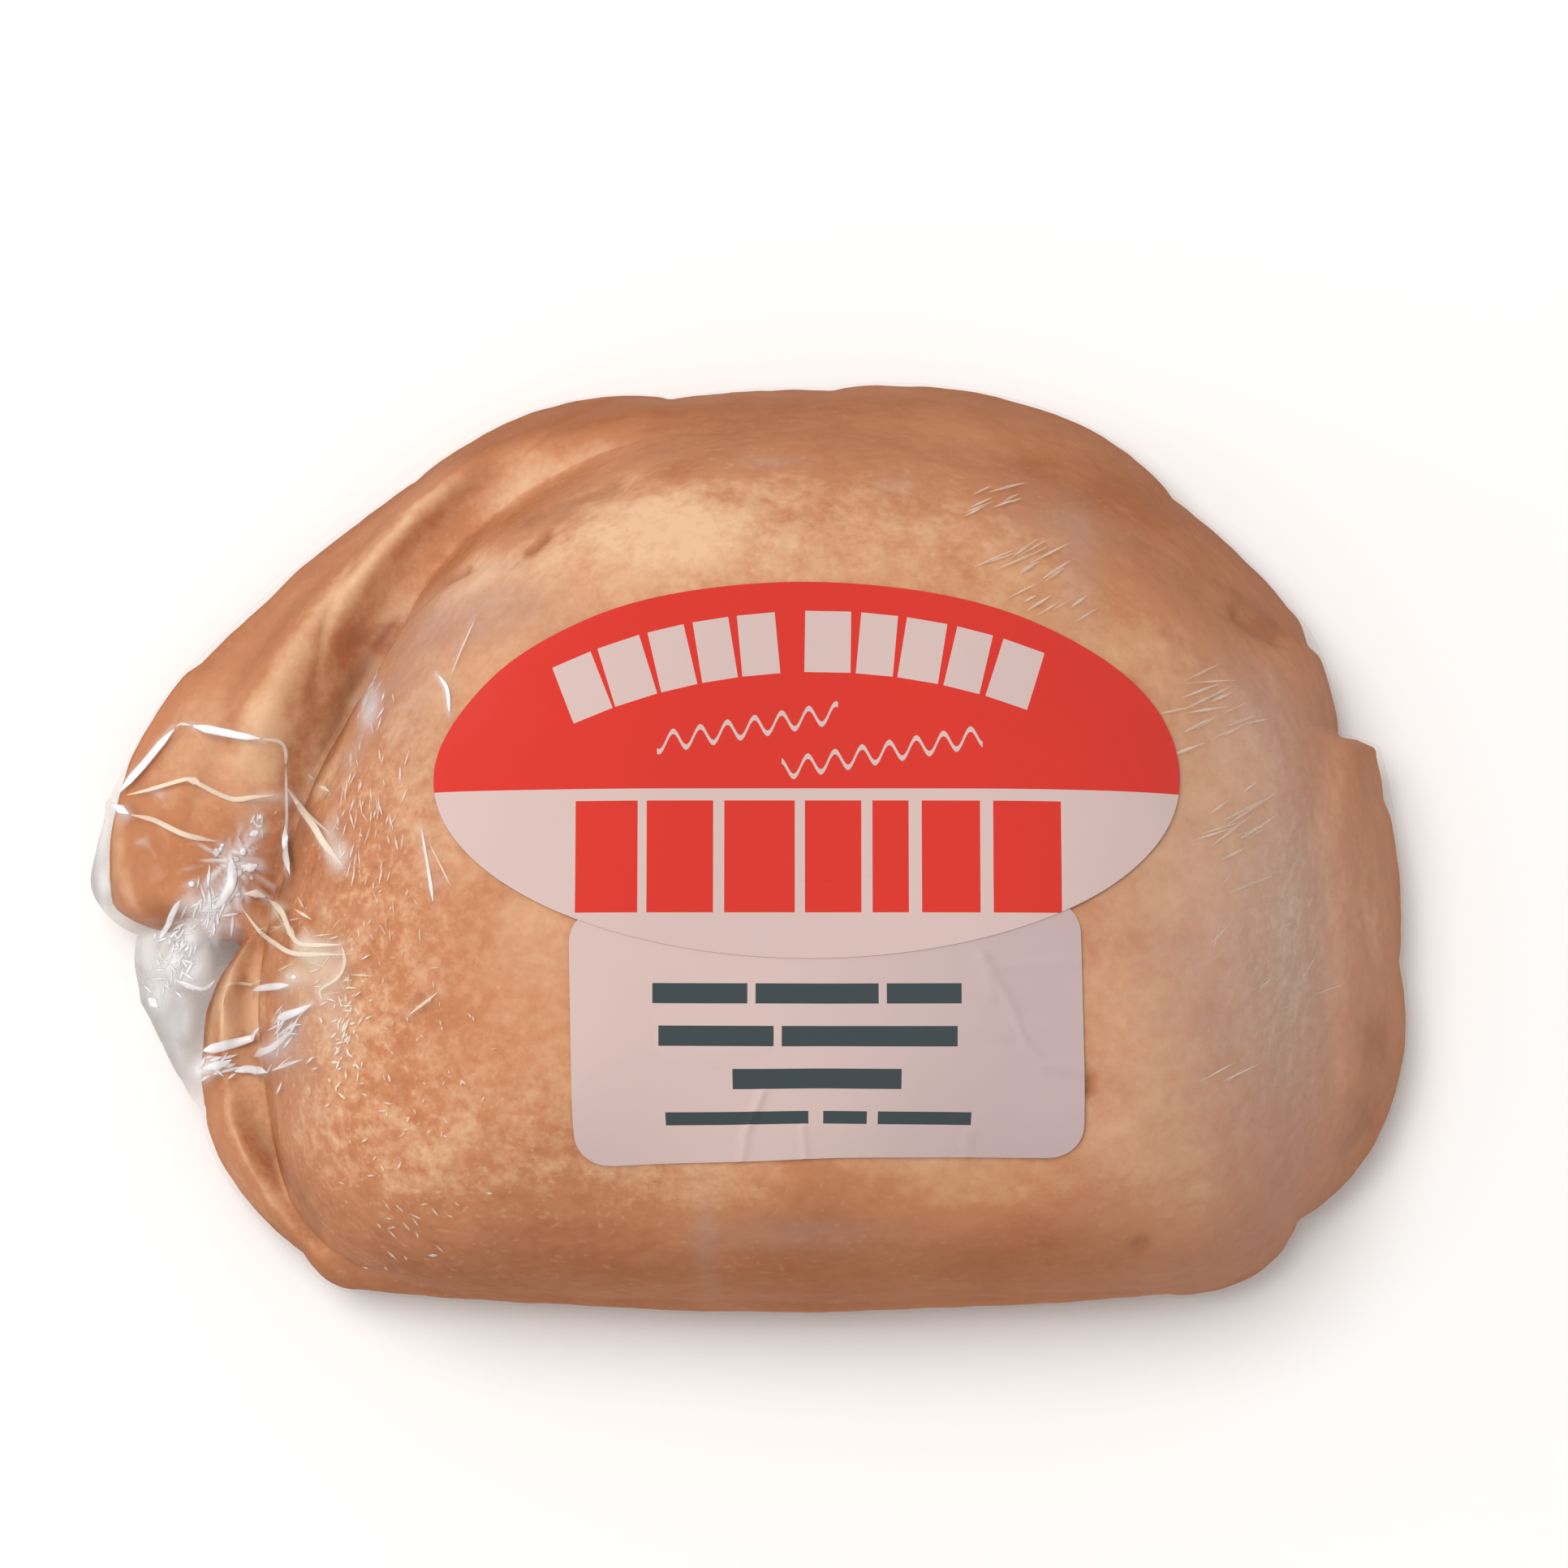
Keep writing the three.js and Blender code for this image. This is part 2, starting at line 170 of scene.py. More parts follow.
def crimp_at(angle, across, crimps):
    """The index of the crimp that a point of the rim lies on, and how high its back is there, 0 to 1."""
    starts = crimps[:, 0][None, :] + crimps[:, 4][None, :] * across[:, None]
    degrees = in_turn(np.degrees(angle), starts[:, 0])
    passed = degrees[:, None] >= starts
    last = len(crimps) - 1
    index = last - np.argmax(passed[:, ::-1], axis=1)
    rows = np.arange(len(index))
    ends = np.where(index == last, starts[:, 0] + 360, starts[rows, np.minimum(index + 1, last)])
    along = (degrees - starts[rows, index]) / (ends - starts[rows, index])
    return index, hump(along, crimps[index, 3]) ** CRIMP_FULLNESS


def outline(angle, crimps):
    """Straight lines between the creases, with each crimp's back swelling out of its own. The dough's
    never stands out past the film's."""
    index, back = crimp_at(angle, np.zeros_like(angle), crimps)
    after = (index + 1) % len(crimps)
    degrees = np.degrees(angle)
    past = np.radians(in_turn(degrees - crimps[index, 0], 0))
    left = np.radians(in_turn(crimps[after, 0] - degrees, 0))
    first, last = crimps[index, 1], crimps[after, 1]
    straight = first * last * np.sin(past + left) / (first * np.sin(past) + last * np.sin(left))
    radius = straight + crimps[index, 2] * back
    return radius if crimps is FILM_CRIMPS else np.minimum(radius, outline(angle, FILM_CRIMPS))


def rim_share(angle):
    """1 where the rim is whole, 0 along the plain front."""
    degrees, end = in_turn(np.degrees(angle), RIM_FROM), RIM_TO + 360
    return eased(RIM_FROM, RIM_FROM + RIM_FADE, degrees) * (1 - eased(end - RIM_FADE, end, degrees))


def foot_radius(angle, crimps):
    """Where the body meets the rim; along the plain front it is just inside the outline."""
    off = (in_turn(np.degrees(angle), RIM_BROAD_AT - 180) - RIM_BROAD_AT) / RIM_BROAD_SPAN
    plain, width = plain_radius(angle), RIM_WIDTH + RIM_BROAD_BY * np.exp(-off * off)
    edge = np.minimum(outline(angle, crimps) - RIM_LEAST_WIDTH, plain + CORNER_REACH)
    return np.minimum(edge, between(edge, plain - width, rim_share(angle)))


def broad_share(angle):
    """1 at the left, where the rim is broad and the long folds lie, and 0 beside the narrow rim."""
    degrees = in_turn(np.degrees(angle), LOW_FOOT_FROM - 180)
    rising = eased(LOW_FOOT_FROM, LOW_FOOT_FROM + LOW_FOOT_FADE, degrees)
    return rising * (1 - eased(LOW_FOOT_TO - LOW_FOOT_FADE, LOW_FOOT_TO, degrees))


def foot_height(angle):
    """Height of the line where the rim and the body meet: low at the left and along the front."""
    return between(LOW_FOOT, HIGH_FOOT, rim_share(angle) * (1 - broad_share(angle)))


def distance_to_run(x, y, run):
    """How far each plan point is from a run of straight stretches."""
    nearest = np.full_like(x, np.inf)
    for start, end in zip(run, run[1:]):
        dx, dy = end[0] - start[0], end[1] - start[1]
        t = np.clip(((x - start[0]) * dx + (y - start[1]) * dy) / (dx * dx + dy * dy), 0, 1)
        nearest = np.minimum(nearest, np.hypot(x - start[0] - dx * t, y - start[1] - dy * t))
    return nearest


def near_run(x, y, run, reach):
    """1 on a run and 0 well away from it."""
    return np.exp(-((distance_to_run(x, y, run) / reach) ** 2))


def near_spot(x, y, at_x, at_y, reach_x, reach_y):
    """1 at a plan point and 0 well away from it."""
    return np.exp(-(((x - at_x) / reach_x) ** 2) - ((y - at_y) / reach_y) ** 2)


def add_spots(values, x, y, spots):
    """Adds spots to the values: the plan point of each, its reach along x and y, and its amount."""
    for *place, amount in spots:
        values += amount * near_spot(x, y, *place)
    return values


def add_runs(values, x, y, runs):
    """Adds runs to the values: each run of plan points, its reach and its amount."""
    for run, reach, amount in runs:
        values += amount * near_run(x, y, run, reach)
    return values


def fold_height(x, y, folds):
    """Height of folds, creases or dents over plan points."""
    return add_runs(np.zeros_like(x), x, y, folds)


def lump_height(x, y):
    """Height of the slow waves, which leave the crown flat."""
    total = sum(height * np.sin(x * kx + y * ky + phase) for height, kx, ky, phase in LUMPS)
    return total * eased(LUMPS_FLAT_WITHIN, LUMPS_FULL_BEYOND, np.hypot(x, y))


def body_height(share, angle, radius, folds, crown_height):
    """Height of the body at a share of the way from the crown (0) to its foot (1)."""
    beside_rim = between(SLACK_SHOULDER, LEFT_SHOULDER, broad_share(angle))
    shoulder = between(FULL_SHOULDER, beside_rim, rim_share(angle))
    dome = np.maximum(1 - share**FLATNESS, 0) ** (1 / shoulder)
    x, y = radius * np.cos(angle), radius * np.sin(angle)
    lumps = eased(0, LUMPS_FOOT_SHARE, 1 - share) * lump_height(x, y)
    return between(foot_height(angle), crown_height, dome) + lumps + fold_height(x, y, folds)


def rim_point(angle, across, crimps, folds):
    """Radius and height of the rim, from the outline (across 0) in to the foot of the body (1)."""
    share = rim_share(angle)
    index, back = crimp_at(angle, across, crimps)
    bulge = FRONT_BULGE * (1 - share) * np.sin(math.pi * across)
    radius = between(outline(angle, crimps), foot_radius(angle, crimps), across) + bulge
    foot = foot_height(angle)
    crest = between(RIM_NARROW_CREST, RIM_BROAD_CREST, broad_share(angle))
    roll = np.sin(np.minimum(1, across / crest) * QUARTER) / np.sin(np.minimum(1, 1 / crest) * QUARTER)
    rimmed = between(RIM_EDGE_HEIGHT, foot, roll)
    crimped = rimmed + crimps[index, 5] * back * np.sin(math.pi * across) ** 2
    plain = between(RIM_EDGE_HEIGHT, foot, across)
    raised = fold_height(radius * np.cos(angle), radius * np.sin(angle), folds)
    return radius, between(plain, crimped, share) + raised * np.minimum(1, across / RIM_FOLDS_FROM)


def form_points(angle, way, crimps, folds, crown_height):
    """Points of the form about the crown. way is 0 to 1 under the pasty and round its lower edge,
    1 to 2 over the rim and 2 to 3 up the body to the crown."""
    radius, height = np.zeros_like(angle), np.zeros_like(angle)
    under, on_rim, on_body = way < 1, (way >= 1) & (way < 2), way >= 2
    edge = outline(angle[under], crimps)
    inset, t = edge - BASE_INSET, way[under]
    turn = np.clip(2 * t - 1, 0, 1) * QUARTER
    radius[under] = np.where(t < 0.5, 2 * t * inset, between(inset, edge, np.sin(turn)))
    height[under] = RIM_EDGE_HEIGHT * (1 - np.cos(turn))
    radius[on_rim], height[on_rim] = rim_point(angle[on_rim], way[on_rim] - 1, crimps, folds)
    share = np.cos((way[on_body] - 2) * QUARTER)
    radius[on_body] = foot_radius(angle[on_body], crimps) * share
    height[on_body] = body_height(share, angle[on_body], radius[on_body], folds, crown_height)
    return np.stack([radius * np.cos(angle), radius * np.sin(angle), height], axis=1)


def soften(points, angle, ring, way):
    """Smooths the line between the rim and the body along each spoke, at the right and along the back."""
    degrees = in_turn(np.degrees(angle), -180)
    share = sum(
        strength * (eased(*begins, degrees) * (1 - eased(*ends, degrees)) * eased(*upward, way))
        for begins, ends, upward, strength in SOFT_STRETCHES
    ) * (1 - eased(*SOFT_ENDS, way))
    order = np.lexsort((ring, np.round(degrees, 3)))
    breaks = np.flatnonzero(np.diff(np.round(degrees, 3)[order])) + 1
    smooth = points.copy()
    for spoke in np.split(order, breaks):
        if share[spoke].max() <= 0 or len(spoke) < 3:
            continue
        places = points[spoke]
        steps = np.linalg.norm(np.diff(places, axis=0), axis=1)
        run = np.concatenate([[0], np.cumsum(steps)])
        weight = np.gradient(run)[None, :] * np.exp(-((run[:, None] - run[None, :]) / SOFT_REACH) ** 2)
        mean = weight @ places / weight.sum(axis=1, keepdims=True)
        smooth[spoke] = between(places, mean, share[spoke][:, None])
    return smooth


def top_height(x, y, crown_height):
    """Height of the film-wrapped body over a plan point about the crown."""
    angle, radius = np.arctan2(y, x), np.hypot(x, y)
    share = np.minimum(radius / foot_radius(angle, FILM_CRIMPS), 1)
    return body_height(share, angle, radius, MAIN_FOLDS, crown_height)


def skin_height(x, y, crown_height):
    """Height of the film's form over plan points anywhere inside its outline."""
    angle, radius = np.arctan2(y, x), np.hypot(x, y)
    edge, foot = outline(angle, FILM_CRIMPS), foot_radius(angle, FILM_CRIMPS)
    across = np.clip((edge - radius) / (edge - foot), 0, 1)
    _, on_rim = rim_point(angle, across, FILM_CRIMPS, MAIN_FOLDS)
    return np.where(radius > foot, on_rim, top_height(x, y, crown_height))


def seen(*pixels):
    """The plan points where the lines of sight through these pixels of the main view meet the form.
    A pixel is counted from the left and from the top."""
    tilt = QUARTER - math.radians(CAMERA_ELEVATION)
    back = np.array([0, -math.sin(tilt), math.cos(tilt)])
    up = np.array([0, math.cos(tilt), math.sin(tilt)])
    eye = CAMERA_TARGET + back * CAMERA_DISTANCE
    off = (np.array(pixels, float) - VIEW_PIXELS / 2) * SENSOR_WIDTH / (FOCAL_LENGTH * VIEW_PIXELS)
    sight = np.outer(off[:, 0], [1, 0, 0]) - np.outer(off[:, 1], up) - back
    height = np.full(len(pixels), SIGHT_START)
    for _ in range(SIGHT_STEPS):
        reach = (height - eye[2]) / sight[:, 2]
        x = eye[0] + sight[:, 0] * reach - CROWN_ALONG
        y = eye[1] + sight[:, 1] * reach - CROWN_BACK
        height = between(height, skin_height(x, y, CROWN_HEIGHT), SIGHT_STRIDE)
    return list(zip(x, y))


def placed(rows):
    """The rows with the view pixel that each starts with turned into its plan point."""
    return [(*at, *row[2:]) for at, row in zip(seen(*(row[:2] for row in rows)), rows)]


def placed_runs(rows):
    """The rows with the run of view pixels that each starts with turned into a run of plan points."""
    return [(seen(*run), *rest) for run, *rest in rows]


# Ridges too slight for the solid. The film follows them.
SKIN_FOLDS = MAIN_FOLDS + placed_runs([
    ([(517, 581), (329, 739), (261, 812), (218, 867)], 1.8, 0.8),
    ([(545, 590), (466, 679), (389, 799), (338, 867), (300, 985)], 3.0, 0.8),
    ([(274, 1234), (298, 1211), (333, 1185)], 0.8, 0.5),
])
# Creases that the film bridges, so that they show in the dough alone.
DOUGH_FOLDS = SKIN_FOLDS + placed_runs([
    ([(475, 637), (415, 696), (346, 765), (304, 825), (278, 859), (226, 1014)], 2.0, -0.8),
    ([(757, 590), (701, 624), (637, 688), (564, 705), (487, 782), (432, 867), (389, 983)], 1.0, -0.9),
    ([(419, 926), (407, 955), (396, 975)], 0.9, -2.0),
    ([(360, 1100), (340, 1200), (330, 1300)], 1.8, -0.4),
    ([(330, 1335), (341, 1424), (366, 1487), (387, 1525)], 1.3, -1.0),
])


# ---- making a piece ------------------------------------------------------------------------
WELD_DISTANCE = 1e-5  # over which the seam of a ball of radius 1 is joined
NOISE_FADING, NOISE_FINENESS = 0.7, 2.0  # how quickly further layers of noise fade, and how fine they get


def noise_at(points, size, octaves, start):
    """Soft noise from about -1 to 1 at points in millimetres, with lumps of about that size."""
    places = (points / size + start).tolist()
    return np.array([noise.fractal(Vector(p), NOISE_FADING, NOISE_FINENESS, octaves) for p in places])


def piece_of(name, shape):
    """The bmesh as an object of the scene."""
    mesh = bpy.data.meshes.new(name)
    shape.to_mesh(mesh)
    shape.free()
    piece = bpy.data.objects.new(name, mesh)
    bpy.context.scene.collection.objects.link(piece)
    return piece


def ball(name, around, along):
    """A closed ball as an object, with each of its points' angle and ring, counted from its foot."""
    shape = bmesh.new()
    bmesh.ops.create_grid(shape, x_segments=around, y_segments=along, size=0.5)
    for vert in shape.verts:
        turn, rise = (vert.co.x + 0.5) * 2 * math.pi, (vert.co.y + 0.5) * math.pi
        radius = math.sin(rise)
        vert.co = (radius * math.cos(turn), radius * math.sin(turn), -math.cos(rise))
    border = [vert for vert in shape.verts if vert.is_boundary]
    bmesh.ops.remove_doubles(shape, verts=border, dist=WELD_DISTANCE)
    piece = piece_of(name, shape)
    piece.data.shade_smooth()
    places = np.empty(len(piece.data.vertices) * 3, np.float32)
    piece.data.vertices.foreach_get("co", places)
    places = places.reshape(-1, 3).astype(float)
    up = 1 - np.arccos(np.clip(places[:, 2], -1, 1)) / math.pi
    return piece, np.arctan2(places[:, 1], places[:, 0]), np.round(up * along).astype(int)


def spoke_of(turn, around):
    """The index of the spoke that each point of a ball lies on."""
    return np.round(turn / (2 * math.pi) * around).astype(int) % around


def steps_over(*stretches):
    """Even steps over stretches that follow each other: the start of each, its end and how many."""
    steps = [np.linspace(first, last, count, endpoint=False) for first, last, count in stretches]
    return np.append(np.concatenate(steps), stretches[-1][1])


def set_points(piece, points, crown):
    """Moves the piece's points there, from millimetres about the crown to metres in the row's frame."""
    metres = (points + np.array([*crown, 0])) * MM
    piece.data.vertices.foreach_set("co", metres.astype(np.float32).ravel())
    piece.data.update()


def normals_of(piece):
    """The outward direction at each of the piece's points."""
    found = np.empty(len(piece.data.vertices) * 3, np.float32)
    piece.data.vertex_normals.foreach_get("vector", found)
    return found.reshape(-1, 3).astype(float)


def give_values(piece, name, values):
    """Keeps a value for each of the piece's points, for its material to read."""
    attribute = piece.data.attributes.new(name, "FLOAT", "POINT")
    attribute.data.foreach_set("value", np.asarray(values, np.float32))


def belongs(piece, slot, *nodes):
    """The piece rides on the pasty's body and stands for those CAD nodes, which are hidden. The slot is not
    used.
    """
    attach(piece, BODY_NAME)
    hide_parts(*nodes)


# ---- material helpers ----------------------------------------------------------------------
class Nodes:
    """A material's nodes, added one after another."""

    def __init__(self, name):
        self.material = bpy.data.materials.new(name)
        self.material.use_nodes = True
        self.tree = self.material.node_tree
        self.tree.nodes.clear()
        self.coordinates = self.add("ShaderNodeTexCoord").outputs["Object"]

    def add(self, kind, settings=None, **sockets):
        """A node of that kind, with its settings and with its sockets by name."""
        node = self.tree.nodes.new(kind)
        for key, value in (settings or {}).items():
            setattr(node, key, value)
        for key, value in sockets.items():
            self.put(node.inputs[key.replace("_", " ")], value)
        return node

    def put(self, socket, value):
        """Links another node to the socket, or writes a plain value into it."""
        if isinstance(value, bpy.types.NodeSocket):
            self.tree.links.new(value, socket)
        else:
            socket.default_value = value

    def math(self, operation, first, second=0.0, third=0.0, clamp=False):
        """A sum, a product or the like."""
        node = self.tree.nodes.new("ShaderNodeMath")
        node.operation, node.use_clamp = operation, clamp
        for socket, value in zip(node.inputs, (first, second, third)):
            self.put(socket, value)
        return node.outputs[0]

    def times(self, first, second):
        """The product of two values."""
        return self.math("MULTIPLY", first, second)

    def value(self, name):
        """A value that is kept for each of the piece's points."""
        return self.add("ShaderNodeAttribute", {"attribute_name": name}).outputs["Fac"]

    def noise(self, size, detail=3.0, roughness=0.5, stretch=(1, 1, 1), turn=0.0, distortion=0.0):
        """Noise on the object's own coordinates, with spots of about that size in metres."""
        mapping = self.add(
            "ShaderNodeMapping", {"vector_type": "TEXTURE"}, Vector=self.coordinates,
            Scale=[1 / value for value in stretch], Rotation=(0, 0, turn),
        )
        return self.add(
            "ShaderNodeTexNoise", Vector=mapping.outputs[0], Scale=1 / size, Detail=detail,
            Roughness=roughness, Distortion=distortion,
        ).outputs["Fac"]

    def spots(self, size, detail, roughness, distortion, low, high, change):
        """Noise that lowers or raises a value by up to the change, low and high being its own range."""
        found = self.noise(size, detail, roughness, distortion=distortion)
        return self.range(found, low, high, -change, change)

    def range(self, value, low, high, to_low=0.0, to_high=1.0):
        """The value, carried over from one range to another."""
        node = self.tree.nodes.new("ShaderNodeMapRange")
        for key, number in (("From Min", low), ("From Max", high), ("To Min", to_low), ("To Max", to_high)):
            node.inputs[key].default_value = number
        self.put(node.inputs["Value"], value)
        return node.outputs[0]

    def mix(self, share, first, second):
        """A colour between two. The node's sockets for colours come after those for plain values."""
        node = self.tree.nodes.new("ShaderNodeMix")
        node.data_type = "RGBA"
        self.put(node.inputs[0], share)
        self.put(node.inputs[6], first)
        self.put(node.inputs[7], second)
        return node.outputs[2]

    def scaled(self, colour, amount):
        """The colour, made darker or lighter by an amount below or above 1."""
        node = self.add("ShaderNodeVectorMath", {"operation": "SCALE"}, Scale=amount)
        self.put(node.inputs[0], colour)
        return node.outputs[0]

    def mixed_shader(self, share, first, second):
        """A surface between two."""
        node = self.add("ShaderNodeMixShader", Fac=share)
        self.put(node.inputs[1], first.outputs[0])
        self.put(node.inputs[2], second.outputs[0])
        return node

    def ramp(self, value, stops):
        """The colour that stands at the value, by stops of place and colour."""
        node = self.tree.nodes.new("ShaderNodeValToRGB")
        self.put(node.inputs[0], value)
        band = node.color_ramp
        while len(band.elements) < len(stops):
            band.elements.new(0.5)
        for element, (place, colour) in zip(band.elements, stops):
            element.position, element.color = place, colour
        return node.outputs[0]

    def bump(self, height, distance, strength, under=None):
        """Fine unevenness of a surface, on top of another one if that is given."""
        node = self.add("ShaderNodeBump", Height=height, Distance=distance, Strength=strength)
        if under is not None:
            self.put(node.inputs["Normal"], under)
        return node.outputs[0]

    def finish(self, shader):
        """The material, with that shader as its surface."""
        self.add("ShaderNodeOutputMaterial", Surface=shader.outputs[0])
        return self.material


def solid_colour(colour):
    """The colour with nothing of it see-through."""
    return (*colour, 1.0)


# ---- the sizes and finishes that a user would change ----------------------------------------
def length(name, description, default):
    """A length in metres."""
    return FloatProperty(name=name, description=description, default=default, unit="LENGTH", precision=5)


def factor(name, description, default):
    """A share from 0 to 1."""
    return FloatProperty(
        name=name, description=description, default=default, min=0, max=1, subtype="FACTOR"
    )


def watts(name, description, default):
    """A lamp's power."""
    return FloatProperty(name=name, description=description, default=default, unit="POWER")


def colour(name, description, default):
    """A colour in linear red, green and blue."""
    return FloatVectorProperty(
        name=name, description=description, default=default, min=0, max=1, size=3, subtype="COLOR"
    )


class PastySizes(bpy.types.PropertyGroup):
    """Sizes of the pasty, its film and its labels."""

    crown_height: length("Crown height", "Height of the film-wrapped body above its base", CROWN_HEIGHT * MM)
    crown_along: length("Crown along", "Where the crown lies along the pasty", CROWN_ALONG * MM)
    crown_back: length("Crown back", "Where the crown lies towards the crimped back", CROWN_BACK * MM)
    dough_inset: length("Dough inset", "How far the dough stays inside the film's form", 0.00013)
    relief: length("Dough relief", "Depth of the fine unevenness of the baked dough", 0.00022)
    film_lift: length("Film lift", "How far the film stands off the solid's form", 0.00005)
    label_lift: length("Label lift", "Gap between the solid's form and a label", 0.00011)
    paper: length("Paper thickness", "Thickness of the labels", 0.00009)
    oval_width: length("Oval width", "Length of the oval label", 0.0762)
    oval_depth: length("Oval depth", "Depth of the oval label", 0.0381)
    plate_width: length("Small label width", "Length of the rectangular label", 0.0508)
    plate_depth: length("Small label depth", "Depth of the rectangular label", 0.0254)
    plate_corner: length("Small label corner", "Radius of the rectangular label's corners", 0.0032)


class PastyLooks(bpy.types.PropertyGroup):
    """Colours and finishes of the pasty."""

    cream: colour("Cream crust", "Colour of the least baked dough", (0.74, 0.47, 0.29))
    pale: colour("Pale crust", "Colour of the lightly baked dough", (0.65, 0.355, 0.20))
    gold: colour("Golden crust", "Colour of the evenly baked dough", (0.52, 0.215, 0.10))
    brown: colour("Brown crust", "Colour of the well baked dough", (0.37, 0.12, 0.04))
    # Painted shade: the colour that the deepest creases are darkened towards.
    crease_shade_colour: colour("Dark crust", "Colour of the deepest creases", (0.16, 0.065, 0.03))
    red: colour("Label red", "Colour of the oval label's upper field and blocks", (0.60, 0.024, 0.012))
    paper: colour("Label white", "Colour of the labels' paper", (0.585, 0.44, 0.415))
    ink: colour("Label ink", "Colour of the small label's bars", (0.035, 0.05, 0.055))
    # Painted highlight and sheen: the colour of the milky film where they are painted on it.
    veil_and_sheen: colour("Film veil", "Colour that the film scatters", (0.93, 0.93, 0.95))
    # Painted reflection: the warm colour of the crust in the wrinkles' highlights.
    warm_sheen: colour(
        "Warm film veil", "Colour of the wrinkles that gather the crust's colour", (0.95, 0.74, 0.45)
    )
    # Painted sheen: the colour of the thin haze and the reflected room over the crust.
    soft_haze_and_sheen: colour("Soft film veil", "Colour of the film's thin haze over the crust", (0.67, 0.52, 0.435))
    # Painted shade: the colour of the film that stands past the dough.
    web_shade_colour: colour("Grey film veil", "Colour of the film past the dough", (0.36, 0.335, 0.315))
    haze: factor("Film haze", "How much the film veils what it covers", 0.015)


class PastyStage(bpy.types.PropertyGroup):
    """Camera, lamps and floor."""

    focal: FloatProperty(
        name="Focal length", description="The camera's lens", default=FOCAL_LENGTH, unit="CAMERA"
    )
    distance: length("Camera distance", "From the camera to the pasty", CAMERA_DISTANCE * MM)
    elevation: FloatProperty(
        name="Camera elevation", description="Above the horizon", default=math.radians(CAMERA_ELEVATION),
        subtype="ANGLE",
    )
    key_power: watts("Key lamp", "Power of the large lamp", 6.9)
    edge_power: watts("Edge lamp", "Power of the side lamp", 1.0)
    fill: FloatProperty(name="Fill", description="Strength of the surrounding light", default=0.6, min=0)
    floor: colour("Floor", "Colour of the floor", (0.92, 0.92, 0.92))


# ---- dough ---------------------------------------------------------------------------------
# Where the dough is browner (above 0) or paler (below 0): partly its own baking, partly painted shade
# (browner dents, slits and edges turned from the light) and painted light (paler faces and gaps that lie
# in shade). Broad areas: plan point, reach along x and y, amount.
BAKING_SHADE_AND_LIGHT = [
    (-66, -3, 4.5, 6, 0.30),
    (-58, -33, 4, 8, -0.05),
    (-40, -32, 14, 12, 0.04),
    (-8, -47, 50, 4, 0.24),
    (-24, -43, 8, 3, 0.14),
    (-25, 46, 35, 5, 0.34),
    (-20, 44, 12, 3, 0.26),
    (20, 47, 22, 5, 0.20),
    (40, 33, 12, 8, 0.30),
    (30, 38, 10, 5, 0.20),
    (-12, 27, 8, 3, -0.14),
    (0, 38, 18, 3, 0.16),
    (-5, 26, 25, 7, -0.08),
    (-36, 8, 8, 12, -0.10),
    (46, -4, 13, 20, -0.10),
    (60, -8, 5, 22, -0.14),
    (60, -36, 6, 5, 0.16),
    (64, 8, 4, 4, -0.06),
    (48, 23, 5, 4, 0.26),
] + placed([  # and small ones, by their view pixel
    (775, 632, 7.5, 3.6, -0.26),
    (837, 579, 2.2, 1.1, 0.36),
    (890, 610, 2.6, 1.0, 0.12),
    (1556, 770, 3.0, 1.3, 0.55),
    (1376, 601, 2.4, 1.8, 0.20),
    (1417, 633, 2.2, 1.6, 0.18),
    (1273, 570, 3.0, 1.5, 0.18),
    (1397, 1155, 1.4, 1.2, 0.12),
    (1459, 1155, 1.4, 1.2, 0.10),
    (1695, 1283, 1.8, 2.8, 0.34),
    (1681, 1377, 2.2, 2.0, 0.28),
    (1343, 1337, 0.5, 1.0, 0.70),
    (1407, 1538, 1.0, 0.8, 0.40),
    (524, 1248, 3.0, 2.0, 0.22),
    (1000, 1500, 6.0, 3.0, 0.20),
    (1280, 1530, 9.0, 3.0, 0.22),
    (404, 955, 2.8, 3.4, -0.34),
    (296, 1240, 3.2, 4.0, -0.60),
])
# The same along runs: run, reach, amount. Mostly painted light and shade: paler along the lit ridges and
# lobe edges, browner in the shaded valleys, slits and grooves.
SHADE_AND_LIGHT_RUNS = placed_runs([
    ([(522, 613), (473, 661), (424, 729), (381, 790), (333, 875), (320, 936)], 3.2, -0.26),
    ([(754, 552), (656, 582), (607, 637), (589, 692)], 2.2, -0.24),
    ([(300, 830), (363, 747), (424, 674), (500, 590)], 2.4, 0.18),
    ([(640, 640), (546, 661), (497, 722), (436, 802)], 2.6, 0.16),
    ([(668, 686), (571, 722), (497, 765), (449, 851)], 2.6, -0.26),
    ([(650, 676), (671, 657)], 0.6, 0.70),
    ([(546, 713), (572, 699)], 0.5, 0.45),
    ([(468, 802), (487, 779)], 0.8, 0.30),
    ([(141, 1012), (142, 1070), (172, 1135), (208, 1173)], 1.1, -0.34),
    ([(249, 1310), (249, 1258), (268, 1212), (305, 1180)], 1.2, -0.40),
    ([(254, 1345), (263, 1420), (318, 1495)], 1.6, -0.20),
    ([(1675, 928), (1650, 1042), (1668, 1089), (1663, 1165), (1673, 1231), (1680, 1353)], 2.2, 0.14),
])


# The dough's swells: how high each kind is, its size, its octaves and its place in the noise.
SWELLS = [(0.6, 9.0, 3, 3.1), (0.3, 2.6, 2, 11.7)]
SWELLS_SUNK_BY, SWELLS_DEEPEST = 0.6, 1.8
SWELLS_PRESSED_FLAT = 0.7  # by the labels
LABELS_AT, LABELS_REACH, LABELS_FADE = (1.2, -6), (42, 31), (0.85, 1.1)


def label_zone(points):
    """1 under the labels and 0 well away from them."""
    off_x = (points[:, 0] - LABELS_AT[0]) / LABELS_REACH[0]
    off_y = (points[:, 1] - LABELS_AT[1]) / LABELS_REACH[1]
    return 1 - eased(*LABELS_FADE, np.hypot(off_x, off_y))


